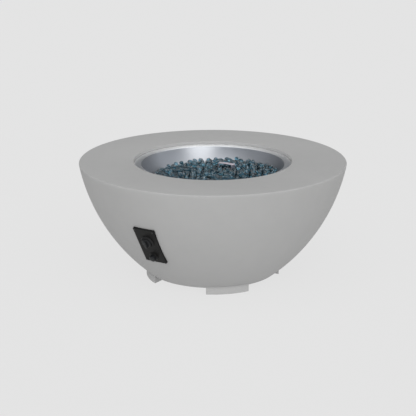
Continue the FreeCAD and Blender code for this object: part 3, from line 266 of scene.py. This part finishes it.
def cut(made, cutter_bm, crease=30.0):
    """Cuts closed shapes out of a piece."""
    cutter_mesh = bpy.data.meshes.new("cutter")
    cutter_bm.to_mesh(cutter_mesh)
    cutter_bm.free()
    cutter = bpy.data.objects.new("cutter", cutter_mesh)
    bpy.context.scene.collection.objects.link(cutter)
    modifier = made.modifiers.new("cut", "BOOLEAN")
    modifier.operation, modifier.solver, modifier.object = "DIFFERENCE", "EXACT", cutter
    bpy.context.view_layer.update()
    shown = made.evaluated_get(bpy.context.evaluated_depsgraph_get())
    whole = made.data
    made.data = bpy.data.meshes.new_from_object(shown)
    made.modifiers.remove(modifier)
    bpy.data.objects.remove(cutter)
    bpy.data.meshes.remove(whole)
    made.data.name = made.name
    made.data.polygons.foreach_set("use_smooth", [True] * len(made.data.polygons))
    made.data.set_sharp_from_angle(angle=math.radians(crease))


panel_w, panel_h, panel_screw_in, panel_land = 0.093, 0.173, 0.0065, 0.011
panel_share, foot_painted_light = 0.469, 0.35
panel_angle = math.asin((arc_z - base_z - panel_share * (bowl_top - base_z)) / side_r)

round_z = bowl_top - rim_round
round_x = arc_x + math.sqrt((side_r - rim_round) ** 2 - (arc_z - round_z) ** 2)
side_low = math.degrees(math.atan2(base_z - arc_z, base_r - arc_x))
side_high = math.degrees(math.atan2(round_z - arc_z, round_x - arc_x))
inner_r, roof_z, floor_top = side_r - side_wall, bowl_top - ring_t, base_z + floor_t
inner_high = math.degrees(math.asin((roof_z - arc_z) / inner_r))
inner_low = math.degrees(math.asin((floor_top - arc_z) / inner_r))

concrete = Finish("cast_concrete", specular_ior_level=0.25)
cloud = concrete.noise(2.6, 4.0)
grain = concrete.noise(420.0, 3.0)
bloom = concrete.noise(23.0, 3.0)
pores = concrete.node("TexVoronoi", {"feature": "F1"}, {"Vector": concrete.place, "Scale": 75.0},
                      "Distance")
pore_size = (concrete.noise(28.0, 0.0) - 0.60) * 0.5
pit = pore_size > pores
tone = (cloud - 0.5) * 0.55 + (bloom - 0.5) * 0.22 + (grain - 0.5) * 0.35 + 0.5
height = concrete.node("SeparateXYZ", {}, {0: concrete.place}, "Z")
# Below the bowl's floor, on the feet, the colour is painted paler: painted light that offsets the shade
# under the bowl.
tone += concrete.ramp(height, (base_z - 0.001, base_z), (foot_painted_light, 0.0))
skin = concrete.blend(tone, (0.335, 0.335, 0.333), (0.418, 0.418, 0.416))
concrete.feed("Base Color", concrete.blend(pit * 0.35, skin, (0.20, 0.20, 0.198)))
concrete.feed("Roughness", 0.76 + (grain - 0.5) * 0.3)
concrete.emboss(grain * 0.16 + bloom * 0.3 - pit, 0.00022)

side_curve = bend(arc_x, arc_z, side_r, side_low, side_high, 48)
rim_curve = bend(round_x, round_z, rim_round, side_high, 90, 6)
# The rim keeps within the built model's own width.
bowl = piece("bowl_casting", turned(
    [(min(x, cad_high.y), z) for x, z in side_curve + rim_curve[1:]]
    + bend(mouth_r + mouth_round, bowl_top - mouth_round, mouth_round, 90, 180, 4)
    + [(mouth_r, ledge_z), (ledge_r, ledge_z - lip_fall * (mouth_r - ledge_r)), (ledge_r, roof_z)]
    + bend(arc_x, arc_z, inner_r, inner_high, inner_low, 24)
    + bend(access_r + cast_round, floor_top - cast_round, cast_round, 90, 180, 3)
    + bend(access_r + cast_round, base_z + cast_round, cast_round, 180, 270, 3), 240),
    concrete, "bowl", ["bowl_shell"])

foot_angles, foot_deep, foot_proud = (45, 135, 225, 315), 0.060, 0.0083
foot_r = base_r + foot_proud
bolt_spread, bolt_r, bolt_out = 9.0, 0.00425, (foot_r - foot_deep + base_r) / 2
bolt_places = [round_about(angle + side * bolt_spread, bolt_out)
               for angle in foot_angles for side in (-1, 1)]
inlet_angle, bracket_out, bracket_half = -112.0, 0.191, 0.008
bracket_screws = [round_about(inlet_angle, bracket_out) @ Matrix.Translation((0, side * bracket_half, 0))
                  for side in (-1, 1)]
window_corner, window_cut = 0.008, 0.06
panel_thread_r, panel_screw_l = 0.00205, 0.024
bracket_thread_r, bracket_screw_l = 0.00255, 0.018
beyond = 0.005  # how far a cutter goes past a surface


def slab(width, height, low, high, corner_r):
    """A block square to the panel with rounded corners, between two heights over the panel's plane."""
    bm = bmesh.new()
    bmesh.ops.create_cube(bm, size=1.0, matrix=Matrix.Translation((0, 0, (low + high) / 2))
                          @ Matrix.Diagonal((width, height, high - low, 1)))
    upright = [e for e in bm.edges if abs(e.verts[0].co.z - e.verts[1].co.z) > 1e-6]
    bmesh.ops.bevel(bm, geom=upright, offset=corner_r, segments=5, profile=0.5, affect="EDGES",
                    material=-1)
    return bm


window_w, window_h = panel_w - 2 * panel_land, panel_h - 2 * panel_land
openings = slab(window_w, window_h, -window_cut, window_cut, window_corner)
bmesh.ops.transform(openings, matrix=on_panel(0, 0), verts=openings.verts)
for spot in panel_corners():
    cylinder(openings, panel_thread_r, -panel_screw_l, beyond, spot)
for spot in bolt_places:
    cylinder(openings, bolt_r, 0.0, floor_top + beyond, spot)
for spot in bracket_screws:
    cylinder(openings, bracket_thread_r, floor_top - bracket_screw_l, floor_top + beyond, spot)
cut(bowl, openings)

# Feet. Four pieces of a cast ring under the bowl's floor, parted by two straight channels, each
# held by two bolts through the floor, and painted paler than the bowl as painted light against the
# shade under it. Their tops follow the start of the bowl's curve.

foot_edge, foot_arris, channel = 0.001, 0.0008, 0.240
bolt_thread_r, bolt_low, bolt_high = 0.00405, 0.009, 0.05
foot_names = ("foot_rear_right", "foot_rear_left", "foot_front_left", "foot_front_right")
foot_top = arc_z - math.sqrt(side_r ** 2 - (foot_r - arc_x) ** 2)
for name, angle in zip(foot_names, foot_angles):
    bm = turned([(foot_r - foot_deep, 0.0), (foot_r - foot_edge, 0.0), (foot_r, foot_edge),
                 (foot_r, foot_top), (base_r, base_z), (foot_r - foot_deep, base_z)],
                48, 90.0, angle - 45)
    for turn in (-45, 45):
        inward = round_about(angle + turn, 1.0).translation
        bmesh.ops.bisect_plane(bm, geom=bm.verts[:] + bm.edges[:] + bm.faces[:], dist=1e-7,
                               plane_co=inward * channel / 2, plane_no=inward, clear_inner=True)
        bmesh.ops.holes_fill(bm, edges=[e for e in bm.edges if e.is_boundary])
    bmesh.ops.recalc_face_normals(bm, faces=bm.faces)
    sharp = [e for e in bm.edges if e.is_manifold and e.calc_face_angle() > 0.6]
    bmesh.ops.bevel(bm, geom=sharp, offset=foot_arris, segments=2, profile=0.5, affect="EDGES",
                    material=-1)
    foot = piece(name.replace("foot", "foot_casting"), bm, concrete, "bowl", [name], 40.0)
    holes = bmesh.new()
    for side in (-1, 1):
        spot = round_about(angle + side * bolt_spread, bolt_out)
        cylinder(holes, bolt_thread_r, bolt_low, bolt_high, spot)
    cut(foot, holes, 40.0)

# Foot bolts, washers, burner locknut and pipe, and the inlet's bracket. Zinc-plated steel with a
# faint blue-white bloom. The bolts go down into the feet and the bracket is screwed to the floor.

zinc = Finish("zinc_plate", metallic=1.0)
spangle = zinc.noise(160.0, 3.0)
zinc.feed("Base Color", zinc.blend(spangle, (0.50, 0.52, 0.55), (0.70, 0.71, 0.72)))
zinc.feed("Roughness", 0.26 + spangle * 0.22)


def dress(finish, *names):
    """Gives CAD pieces that keep their shape their real finish."""
    for name in names:
        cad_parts[name].material_slots[0].material = finish.material


dress(zinc, "foot_bolts", "foot_washers", "pan_locknut", "inlet_bracket", "bracket_screws", "gas_nipple")

# Burner pan. One spinning of 1.5 mm stainless sheet: a lip that lies on the concrete ledge and falls
# a little inwards, polished and painted paler as a painted sheen, a conical wall that bows out
# slightly, and a flat floor with six rain drain holes. The spinning tool leaves fine rings.

sheet, lip_r, lip_z = 0.0015, 0.313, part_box("burner_pan")[1].z
pan_mouth, pan_floor_r, pan_depth = 0.286, 0.254, 0.0724
pan_floor = lip_z - pan_depth
wall_lean = math.degrees(math.atan2(lip_z - pan_floor, pan_mouth - pan_floor_r))
floor_bend, lip_bend, lip_arris, wall_bow = 0.008, 0.002, 0.0004, 0.0022
lip_drop = (lip_r - pan_mouth) / (1 / lip_fall - 1 / math.tan(math.radians(wall_lean)))
mouth_in = lip_drop / math.tan(math.radians(wall_lean))

steel = Finish("spun_stainless", metallic=1.0, anisotropic=0.6, anisotropic_rotation=0.25)
spread = steel.node("VectorMath", {"operation": "MULTIPLY"}, {0: steel.place, 1: (1, 1, 0)})
out = steel.node("VectorMath", {"operation": "LENGTH"}, {0: spread}, "Value")
up = steel.node("SeparateXYZ", {}, {0: steel.place}, "Z")
rings = steel.node("TexNoise", {"noise_dimensions": "1D"},
                   {"W": out + up, "Scale": 900.0, "Detail": 3.0}, "Fac")
smear = steel.noise(9.0, 3.0)
speck = steel.noise(650.0, 2.0)
spun = steel.blend(smear * 0.5 + rings * 0.5, (0.42, 0.43, 0.45), (0.52, 0.53, 0.55))
# The lip's paler colour is partly its polish and partly a painted sheen that brightens its reflection.
lip_polish_and_sheen = steel.ramp(out, (pan_mouth - 0.002, pan_mouth + 0.001), (0.0, 1.0))
steel.feed("Base Color", steel.blend(lip_polish_and_sheen, spun, (0.90, 0.90, 0.90)))
steel.feed("Roughness", lip_polish_and_sheen * 0.04 + 0.26 + rings * 0.12 + (smear - 0.5) * 0.1)
steel.emboss(rings * 0.6 + speck * 0.4, 0.00006)


def corner(x, z, radius, first, second):
    """Rounds a profile's corner between two directions, given in degrees."""
    a, b = math.radians(first), math.radians(second)
    d1, d2 = Vector((math.cos(a), math.sin(a))), Vector((math.cos(b), math.sin(b)))
    half = d1.angle(d2) / 2
    run = radius / math.tan(half)
    centre = Vector((x, z)) + (d1 + d2).normalized() * radius / math.sin(half)
    start, end = Vector((x, z)) + d1 * run - centre, Vector((x, z)) + d2 * run - centre
    sweep = math.degrees(start.angle_signed(end)) * -1
    begin = math.degrees(math.atan2(start.y, start.x))
    return bend(centre.x, centre.y, radius, begin, begin + sweep, 6)


wall_low, wall_high = Vector((pan_floor_r, pan_floor)), Vector((pan_mouth, lip_z))
outwards = -(wall_high - wall_low).orthogonal().normalized()
bowed = [tuple(wall_low.lerp(wall_high, share) + 4 * wall_bow * share * (1 - share) * outwards)
         for share in [0.15 + 0.1 * i for i in range(8)]]
lip_corner = corner(pan_mouth - mouth_in, lip_z - lip_drop, lip_bend,
                    180 + wall_lean, math.degrees(lip_fall))
bm = turned([(0.0, pan_floor)]
            + corner(pan_floor_r, pan_floor, floor_bend, 180, wall_lean)
            + bowed + lip_corner + [(lip_r, lip_z)], 192, closed=False)
if sum(f.normal.z for f in bm.faces) < 0:
    bmesh.ops.reverse_faces(bm, faces=bm.faces)
bmesh.ops.solidify(bm, geom=bm.faces, thickness=sheet)
edge = [e for e in bm.edges if e.calc_face_angle(0) > 1.0 and e.verts[0].co.xy.length > lip_r - 1e-4]
bmesh.ops.bevel(bm, geom=edge, offset=lip_arris, segments=2, profile=0.5, affect="EDGES", material=-1)
pan = piece("spun_pan", bm, steel, "bowl", ["burner_pan"])

pilot_angle, hood_r, hood_span, hood_tab, probe_spread = 94.7, 0.121, 32.0, 0.011, 4.2
nipple_hole, drain_hole, drain_out = 0.01085, 0.0035, 0.205
screw_hole, electrode_hole, probe_hole = 0.00225, 0.00375, 0.00325
screw_turn = hood_span / 2 + math.degrees(hood_tab / 2 / hood_r)
floor_holes = [(nipple_hole, Matrix())]
floor_holes += [(drain_hole, round_about(60 * (step + 0.5), drain_out)) for step in range(6)]
floor_holes += [(radius, round_about(pilot_angle + turn, hood_r)) for radius, turn in (
    (screw_hole, screw_turn), (screw_hole, -screw_turn),
    (electrode_hole, probe_spread), (probe_hole, -probe_spread))]
holes = bmesh.new()
for radius, spot in floor_holes:
    cylinder(holes, radius, pan_floor - beyond, pan_floor + beyond, spot)
cut(pan, holes)

# Ring burner, pilot bracket and spindle. A ring and a cross tube of drawn stainless, a pressed
# bracket with its screws and nuts on the pan floor, and turned stainless rods.

dress(steel, "ring_burner", "pilot_bracket", "pilot_screws", "pilot_nuts", "flame_probe", "spark_rod",
      "valve_spindle", "valve_plunger")

# Flame hood. A strip of 1.2 mm stainless bent over the electrode and the flame probe, with a tab at
# each end under a screw. It stands a little above the glass and keeps rain and pebbles off the pilot.

hood_w, hood_t, hood_bend, plate_t = 0.024, 0.0012, 0.003, 0.0015
hood_top, plate_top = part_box("flame_hood")[1].z, pan_floor + plate_t
half_run = math.radians(hood_span / 2) * hood_r
run = [(half_run + hood_tab, plate_top + hood_t), (half_run + hood_tab / 2, plate_top + hood_t)]
run += corner(half_run, plate_top + hood_t, hood_bend, 0, 90)
run += corner(half_run, hood_top, hood_bend, 270, 180)
run += [(half_run * (1 - step / 6), hood_top) for step in range(1, 6)]
run += [(0.0, hood_top)] + [(-x, z) for x, z in reversed(run)]

bm = bmesh.new()
edges = []
for radius in (hood_r - hood_w / 2, hood_r + hood_w / 2):
    spots = [bm.verts.new(round_about(pilot_angle + math.degrees(x / hood_r), radius, z).translation)
             for x, z in run]
    edges += [bm.edges.new(pair) for pair in zip(spots, spots[1:])]
bmesh.ops.bridge_loops(bm, edges=edges)
bmesh.ops.recalc_face_normals(bm, faces=bm.faces)
if max(bm.faces, key=lambda f: f.calc_center_median().z).normal.z < 0:
    bmesh.ops.reverse_faces(bm, faces=bm.faces)
bmesh.ops.solidify(bm, geom=bm.faces, thickness=hood_t)

heated = Finish("heated_stainless", metallic=1.0)
oxide = heated.noise(38.0, 3.0)
heated.feed("Base Color", heated.blend(oxide, (0.60, 0.55, 0.60), (0.74, 0.68, 0.72)))
heated.feed("Roughness", 0.36 + oxide * 0.2)
piece("pilot_hood", bm, heated, "bowl", ["flame_hood"])

# Pilot electrode. A white glazed alumina tube round the spark rod, held by the pilot bracket where
# it goes through the pan floor.

ceramic = Finish("white_alumina", roughness=0.22, coat_weight=0.4)
ceramic.feed("Base Color", ceramic.blend(ceramic.noise(90.0), (0.80, 0.78, 0.72), (0.88, 0.87, 0.83)))
dress(ceramic, "electrode_ceramic")

# Fire glass. Loose tumbled pebbles of clear teal glass, about 20 mm, raked into a bed that is a
# little higher on one side and lies in low mounds. The lower pebbles are painted darker than the
# upper ones, and below them a near-black sheet stands for the rest: painted shade between the pebbles.

bed_z, bed_tilt, bed_side = pan_floor + 0.0245, math.radians(2.5), math.radians(32.5)
bed_r, bed_drop, bed_t, bed_in, bed_lift = pan_floor_r - 0.0006, 0.013, 0.001, 0.0035, 0.003
mound_step, mound_r, mound_h, mound_low = 0.036, 0.027, 0.008, 0.5
pebble_r, pebble_play, wall_gap, floor_gap = 0.0104, 0.0025, 0.0005, 0.0003
bank_w, bank_h = 0.030, 0.006
golden, row_share, pebble_top = (math.sqrt(5) - 1) / 2, 0.87, 0.02
ring_mid, ring_half, cross_half, hub_half = 0.145, 0.011, 0.010, 0.019
ring_top, hub_top = pan_floor + 0.0160, pan_floor + 0.0178


def bed_top(x, y):
    """Height of the raked bed with its mounds."""
    height = bed_z + math.tan(bed_tilt) * (x * math.cos(bed_side) + y * math.sin(bed_side))
    for i in range(int(((bed_r - mound_r) / mound_step) ** 2)):
        distance, turn = mound_step * math.sqrt(i + 0.5), math.tau * golden * i
        off = math.hypot(x - distance * math.cos(turn), y - distance * math.sin(turn))
        if off < mound_r:
            rise = mound_h * (mound_low + (1 - mound_low) * (i * golden % 1))
            ball = (mound_r ** 2 + rise ** 2) / (2 * rise)
            height += math.sqrt(ball ** 2 - off ** 2) - ball + rise
    return height


def wall_r(z):
    """Inside radius of the pan at a height."""
    return pan_floor_r + (z - pan_floor) / math.tan(math.radians(wall_lean))


def burner_top(x, y):
    """Height of the burner's ring, cross tube and hub, widened a little, or of the pan floor."""
    away = math.hypot(x, y)
    if abs(away - ring_mid) < ring_half or (abs(y) < cross_half and away < ring_mid):
        return ring_top
    return hub_top if away < hub_half else pan_floor


glass = Finish("teal_glass", roughness=0.02, ior=1.52, transmission_weight=0.95)
tint = glass.node("Attribute", {"attribute_name": "tint"}, {}, "Fac")
glass.feed("Base Color", glass.blend(tint, (0.02, 0.10, 0.14), (0.30, 0.56, 0.68)))

# The bed under the pebbles is a near-black sheet: painted shade standing for the deeper pebbles.
painted_shade_glass = Finish("painted_shade_glass", roughness=0.2)
cells = painted_shade_glass.node("TexVoronoi", {"feature": "F1"}, {"Vector": painted_shade_glass.place, "Scale": 55.0},
                        "Distance")
painted_shade_glass.feed("Base Color", painted_shade_glass.blend(cells, (0.02, 0.04, 0.05), (0.004, 0.008, 0.010)))
painted_shade_glass.emboss(1.0 - cells, 0.008)

dice = random.Random(20)
lumps = []
for kind in range(7):
    bm = bmesh.new()
    bmesh.ops.create_cube(bm, size=1.0)
    bmesh.ops.subdivide_edges(bm, edges=bm.edges, cuts=1, use_grid_fill=True)
    for vert in bm.verts:
        vert.co = vert.co.normalized() * dice.uniform(0.93, 1.07)
    lump = bpy.data.meshes.new("pebble")
    bm.to_mesh(lump)
    bm.free()
    lumps.append(lump)

bm = bmesh.new()
shade = bm.verts.layers.float.new("tint")
# Each layer's pebbles get a random tint up to its palest; the lower layer's cap of 0.45 is painted shade
# for pebbles deep in the bed.
for layer_drop, pebble_gap, wander, palest_after_shade in (
        (0.0105, 0.0198, 0.003, 0.45), (0.0005, 0.031, 0.008, 1.0)):
    rows = int(wall_r(bed_z + pebble_top) / pebble_gap) + 3
    for row in range(-rows, rows + 1):
        for column in range(-rows, rows + 1):
            x = (column + 0.5 * (row % 2)) * pebble_gap + dice.uniform(-wander, wander)
            y = row * pebble_gap * row_share + dice.uniform(-wander, wander)
            size = pebble_r * dice.uniform(0.8, 1.1)
            flat = dice.uniform(0.7, 1.0)
            tip_x, tip_y = dice.uniform(-0.7, 0.7), dice.uniform(-0.7, 0.7)
            turn = [dice.uniform(0, math.tau), tip_x, tip_y]
            lump, teal = dice.choice(lumps), palest_after_shade * dice.uniform(0.3, 1.0)
            z = bed_top(x, y) - layer_drop + dice.uniform(-pebble_play, pebble_play)
            away = math.hypot(x, y)
            if away > wall_r(z) - size - wall_gap:
                continue
            aside = max(abs(away - hood_r) - hood_w / 2,
                        abs(math.atan2(y, x) - math.radians(pilot_angle)) * hood_r - half_run)
            if aside < size:
                continue
            z = max(z + bank_h * max(0.0, 1 - (aside - size) / bank_w), pan_floor + size + floor_gap)
            before = len(bm.verts)
            bm.from_mesh(lump)
            bm.verts.ensure_lookup_table()
            added = bm.verts[before:]
            for vert in added:
                vert[shade] = teal
            grow = Matrix.Diagonal((size, size * dice.uniform(0.85, 1.0), size * flat, 1))
            spin = Matrix.Identity(4)
            for angle, axis in zip(turn, "ZXY"):
                spin = spin @ Matrix.Rotation(angle, 4, axis)
            bmesh.ops.transform(bm, matrix=Matrix.Translation((x, y, z)) @ spin @ grow, verts=added)
piece("glass_pebbles", bm, glass, "bowl", ["fire_glass"], 180.0)

bm = bmesh.new()
bmesh.ops.create_grid(bm, x_segments=104, y_segments=104, size=pan_mouth)
outer = [v for v in bm.verts if v.co.length > wall_r(bed_top(v.co.x, v.co.y) - bed_drop) - bed_in]
bmesh.ops.delete(bm, geom=outer, context="VERTS")
for vert in bm.verts:
    x, y, _ = vert.co
    vert.co.z = max(bed_top(x, y) - bed_drop, burner_top(x, y), pan_floor + bed_lift)
bmesh.ops.recalc_face_normals(bm, faces=bm.faces)
bmesh.ops.solidify(bm, geom=bm.faces, thickness=bed_t)
piece("glass_bed", bm, painted_shade_glass, "bowl", ["fire_glass"])

# Control panel. A black moulding with a flat face, 2.7 mm thick over the window; its rim goes back
# to the bowl's curve all round and is screwed on at the corners. Satin face with a fine texture.

panel_gap, panel_front, panel_back = 0.0003, 0.003, -0.024
panel_corner, panel_edge, panel_cut, panel_sweep = 0.0015, 0.0006, 0.06, 24.0
knob_up, button_down, valve_screw_out = 0.025, 0.056, 0.012
panel_hole, spindle_hole, barrel_hole, through = 0.00225, 0.0045, 0.01525, 0.01

satin = Finish("satin_black", specular_ior_level=0.12)
orange_peel = satin.noise(900.0, 2.0)
dust = satin.noise(40.0, 4.0)
satin.feed("Base Color", satin.blend(dust, (0.006, 0.006, 0.0058), (0.011, 0.011, 0.0105)))
satin.feed("Roughness", 0.36 + dust * 0.16)
satin.emboss(orange_peel, 0.00005)

bm = slab(panel_w, panel_h, panel_back, panel_front, panel_corner)
front = [e for e in bm.edges if min(v.co.z for v in e.verts) > panel_front - 1e-5]
bmesh.ops.bevel(bm, geom=front, offset=panel_edge, segments=3, profile=0.5, affect="EDGES", material=-1)
bmesh.ops.transform(bm, matrix=on_panel(0, 0), verts=bm.verts)
plate = piece("panel_plate", bm, satin, "bowl", ["control_panel"], 25.0)

reach = math.degrees(panel_h / side_r)
middle = -math.degrees(panel_angle)
behind = bend(arc_x, arc_z, side_r + panel_gap, middle - reach, middle + reach, 36)
behind += bend(arc_x, arc_z, side_r - panel_cut, middle + reach, middle - reach, 4)
cut(plate, turned(behind, 24, panel_sweep, -90 - panel_sweep / 2), 25.0)
holes = slab(window_w, window_h, panel_back - 0.001, panel_gap, window_corner)
bmesh.ops.transform(holes, matrix=on_panel(0, 0), verts=holes.verts)
cut(plate, holes, 25.0)
holes = bmesh.new()
for spot in panel_corners():
    cylinder(holes, panel_hole, panel_back, through, spot)
cylinder(holes, spindle_hole, -through, through, on_panel(0, knob_up))
for side in (-1, 1):
    cylinder(holes, panel_hole, -through, through, on_panel(side * valve_screw_out, knob_up))
cylinder(holes, barrel_hole, -through, through, on_panel(0, -button_down), 48)
cut(plate, holes, 25.0)

# Panel and valve screws. Steel pan heads in black oxide: four hold the panel to the concrete and
# two, under the knob, hold the valve behind it.

black_oxide = Finish("black_oxide", metallic=0.6)
rub = black_oxide.noise(500.0, 2.0)
black_oxide.feed("Base Color", black_oxide.blend(rub, (0.02, 0.02, 0.02), (0.06, 0.06, 0.062)))
black_oxide.feed("Roughness", 0.3 + rub * 0.15)
dress(black_oxide, "panel_screws", "valve_screws")

# Knob, its bezel and the igniter. Black moulded phenolic and nylon: the bezel and the igniter's
# barrel have a fine spark-eroded texture, the knob and the button are smoother from handling.

moulded = Finish("moulded_black", specular_ior_level=0.2)
erosion = moulded.noise(1500.0, 2.0)
soot = moulded.noise(60.0)
moulded.feed("Base Color", moulded.blend(soot, (0.008, 0.008, 0.008), (0.014, 0.014, 0.014)))
moulded.feed("Roughness", 0.42 + erosion * 0.16)
moulded.emboss(erosion, 0.00004)
dress(moulded, "knob_bezel", "igniter_barrel", "igniter_nut")

handled = Finish("handled_black", specular_ior_level=0.2)
wear = handled.noise(70.0, 3.0)
handled.feed("Base Color", handled.blend(wear, (0.011, 0.0115, 0.012), (0.017, 0.018, 0.020)))
handled.feed("Roughness", 0.28 + wear * 0.16)
dress(handled, "control_knob", "igniter_button")

# Gas valve and air mixer. Die-cast aluminium with a fine grainy skin. The valve hangs behind the
# panel on its flange, the mixer under the pan on the burner's pipe.

cast_alloy = Finish("die_cast", metallic=1.0)
shot = cast_alloy.noise(700.0, 3.0)
cast_alloy.feed("Base Color", cast_alloy.blend(shot, (0.46, 0.46, 0.47), (0.62, 0.62, 0.63)))
cast_alloy.feed("Roughness", 0.4 + shot * 0.2)
cast_alloy.emboss(shot, 0.00008)
dress(cast_alloy, "gas_valve", "air_mixer")

# Brass gas fittings. Turned from bar and slightly tarnished: the burner's jet, the inlet with its
# locknut, the hoses' swivel nuts, and the safety magnet that is screwed into the valve.

brass = Finish("turned_brass", metallic=1.0)
tarnish = brass.noise(130.0, 3.0)
brass.feed("Base Color", brass.blend(tarnish, (0.72, 0.50, 0.20), (0.56, 0.38, 0.17)))
brass.feed("Roughness", 0.2 + tarnish * 0.22)
dress(brass, "gas_orifice", "inlet_fitting", "inlet_locknut", "hose_nuts", "safety_magnet", "probe_nut")

# Springs. Open coils of drawn spring wire round the valve's push rod and behind the button. Each
# stands on its inner end.

coil_r, wire_r, coil_steps, travel = 0.0046, 0.00045, 24, 0.003

wire = Finish("spring_wire", metallic=1.0)
drawn = wire.noise(800.0, 2.0)
wire.feed("Base Color", wire.blend(drawn, (0.42, 0.42, 0.44), (0.56, 0.56, 0.58)))
wire.feed("Roughness", 0.25 + drawn * 0.15)

for name, joint, along, low_end, high_end, coils in (
        ("plunger_spring", "knob_push", knob_up, -0.0539, -0.02645, 7),
        ("button_spring", "igniter_push", -button_down, -0.0113, 0.0058, 6)):
    rise = (high_end - low_end - 2 * wire_r) / (coils * coil_steps)
    bm = bmesh.new()
    section = bmesh.ops.create_circle(bm, segments=8, radius=wire_r, matrix=Matrix.Translation(
        (coil_r, 0, low_end + wire_r)) @ Matrix.Rotation(math.pi / 2, 4, "X"))["verts"]
    bmesh.ops.spin(bm, geom=section + bm.edges[:], cent=(0, 0, 0), axis=(0, 0, 1), dvec=(0, 0, rise),
                   steps=coils * coil_steps, angle=coils * math.tau)
    bmesh.ops.holes_fill(bm, edges=[e for e in bm.edges if e.is_boundary])
    bmesh.ops.recalc_face_normals(bm, faces=bm.faces)
    seat = on_panel(0, along)
    bmesh.ops.transform(bm, matrix=seat, verts=bm.verts)
    coil = piece(name.replace("spring", "coil"), bm, wire, "bowl", [name], 60.0)
    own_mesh(coil)

# Battery cell. A plain dark jacket. It lies in the igniter's barrel, under the spring of the
# button.

jacket = Finish("cell_jacket", roughness=0.3)
jacket.feed("Base Color", jacket.blend(jacket.noise(55.0), (0.03, 0.05, 0.08), (0.05, 0.075, 0.11)))
dress(jacket, "battery_cell")

# Gas hoses. Black rubber with a cloth-wrapped skin, one from the inlet to the valve and one from
# the valve to the burner's jet, each held by a swivel nut at both ends.

rubber = Finish("hose_rubber", roughness=0.6)
wrap = rubber.node("TexWave", {"wave_type": "BANDS", "bands_direction": "DIAGONAL"},
                   {"Vector": rubber.place, "Scale": 160.0, "Distortion": 1.0}, "Fac")
rubber.feed("Base Color", rubber.blend(wrap, (0.018, 0.018, 0.018), (0.04, 0.04, 0.041)))
rubber.feed("Roughness", 0.52 + wrap * 0.18)
rubber.emboss(wrap, 0.0003)
dress(rubber, "burner_hose", "inlet_hose")

# Ignition lead and its boots. Dull red silicone over the wire from the igniter to the electrode
# under the pan, with a push-on boot at each end.

silicone = Finish("red_silicone", roughness=0.5)
chalk = silicone.noise(220.0, 3.0)
silicone.feed("Base Color", silicone.blend(chalk, (0.30, 0.05, 0.035), (0.40, 0.08, 0.055)))
silicone.feed("Roughness", 0.42 + chalk * 0.18)
dress(silicone, "ignition_lead", "lead_boots")

# Thermocouple lead. Bare drawn copper, a little brown, from the flame probe to the magnet on the
# valve, where a nut holds it.

copper = Finish("drawn_copper", metallic=1.0)
browned = copper.noise(95.0, 3.0)
copper.feed("Base Color", copper.blend(browned, (0.72, 0.36, 0.22), (0.48, 0.25, 0.16)))
copper.feed("Roughness", 0.25 + browned * 0.2)
dress(copper, "thermocouple_lead")

# Studio. A pale floor that runs out of the picture on all sides, soft light from the room, and a
# broad and a narrower lamp in front. Metal and glass mirror a room that is darker on its far side,
# with an overhead window and a low one on the right of the camera.

backdrop, floor_r = (0.776, 0.776, 0.776), 80.0

bm = bmesh.new()
bmesh.ops.create_circle(bm, cap_ends=True, segments=96, radius=floor_r)
floor_mesh = bpy.data.meshes.new("floor")
bm.to_mesh(floor_mesh)
bm.free()
floor = bpy.data.objects.new("floor", floor_mesh)
bpy.context.scene.collection.objects.link(floor)

paper = Finish("paper_floor", roughness=0.9)
paper.feed("Base Color", backdrop)
rays = paper.node("LightPath", {}, {}, "Is Camera Ray")
glow = paper.node("Emission", {}, {"Color": backdrop})
lit = Value(paper, paper.shader.outputs[0])
mixed = paper.node("MixShader", {}, {0: rays * 0.12 + 0.80, 1: lit, 2: glow})
paper.join(paper.tree.nodes["Material Output"].inputs["Surface"], mixed)
floor_mesh.materials.append(paper.material)

world = bpy.data.worlds.new("studio")
bpy.context.scene.world = world
world.use_nodes = True
sky = Shading(world.node_tree)
toward = sky.node("TexCoord", output="Generated")
up = sky.node("SeparateXYZ", {}, {0: toward}, "Z")
right, rear = (sky.along(toward, heading(view_turn + turn, 0)) for turn in (90, 180))
room = sky.ramp(up, (0.22, 0.55), (0.80, 0.37))
walls = sky.ramp(right, (-1.1, -0.2), (0.36, 0.60)) * sky.ramp(rear, (0.1, 0.9), (1.0, 0.26))
overhead = sky.ramp(up, (0.60, 0.80), (0.0, 1.5))
beside = sky.ramp(sky.along(toward, heading(52, 6)), (0.80, 0.985), (0.0, 1.75))
mirrored = sky.node("VectorMath", {"operation": "ADD"},
                    {0: sky.blend(walls, (0, 0, 0), (0.93, 0.98, 1.05)), 1: overhead + beside})
glossy = sky.node("LightPath", output="Is Glossy Ray")
seen = sky.node("LightPath", output="Is Camera Ray")
light = sky.blend(glossy, room, mirrored)
sky.join(sky.tree.nodes["Background"].inputs["Color"], sky.blend(seen, light, backdrop))


def lamp(name, turn, tip, level, width):
    """A distant lamp: where it stands round the bowl and above the floor, its level on a surface
    that faces it, and its apparent width, all angles in degrees."""
    made = bpy.data.objects.new(name, bpy.data.lights.new(name, "SUN"))
    made.data.energy = level * math.pi
    made.data.angle = math.radians(width)
    made.rotation_mode = "QUATERNION"
    made.rotation_quaternion = heading(turn, tip).to_track_quat("Z", "Y")
    made.visible_glossy = False
    bpy.context.scene.collection.objects.link(made)


lamp("broad_light", 36.0, 48.0, 0.57, 100.0)
lamp("narrow_light", 40.0, 34.0, 0.16, 32.0)
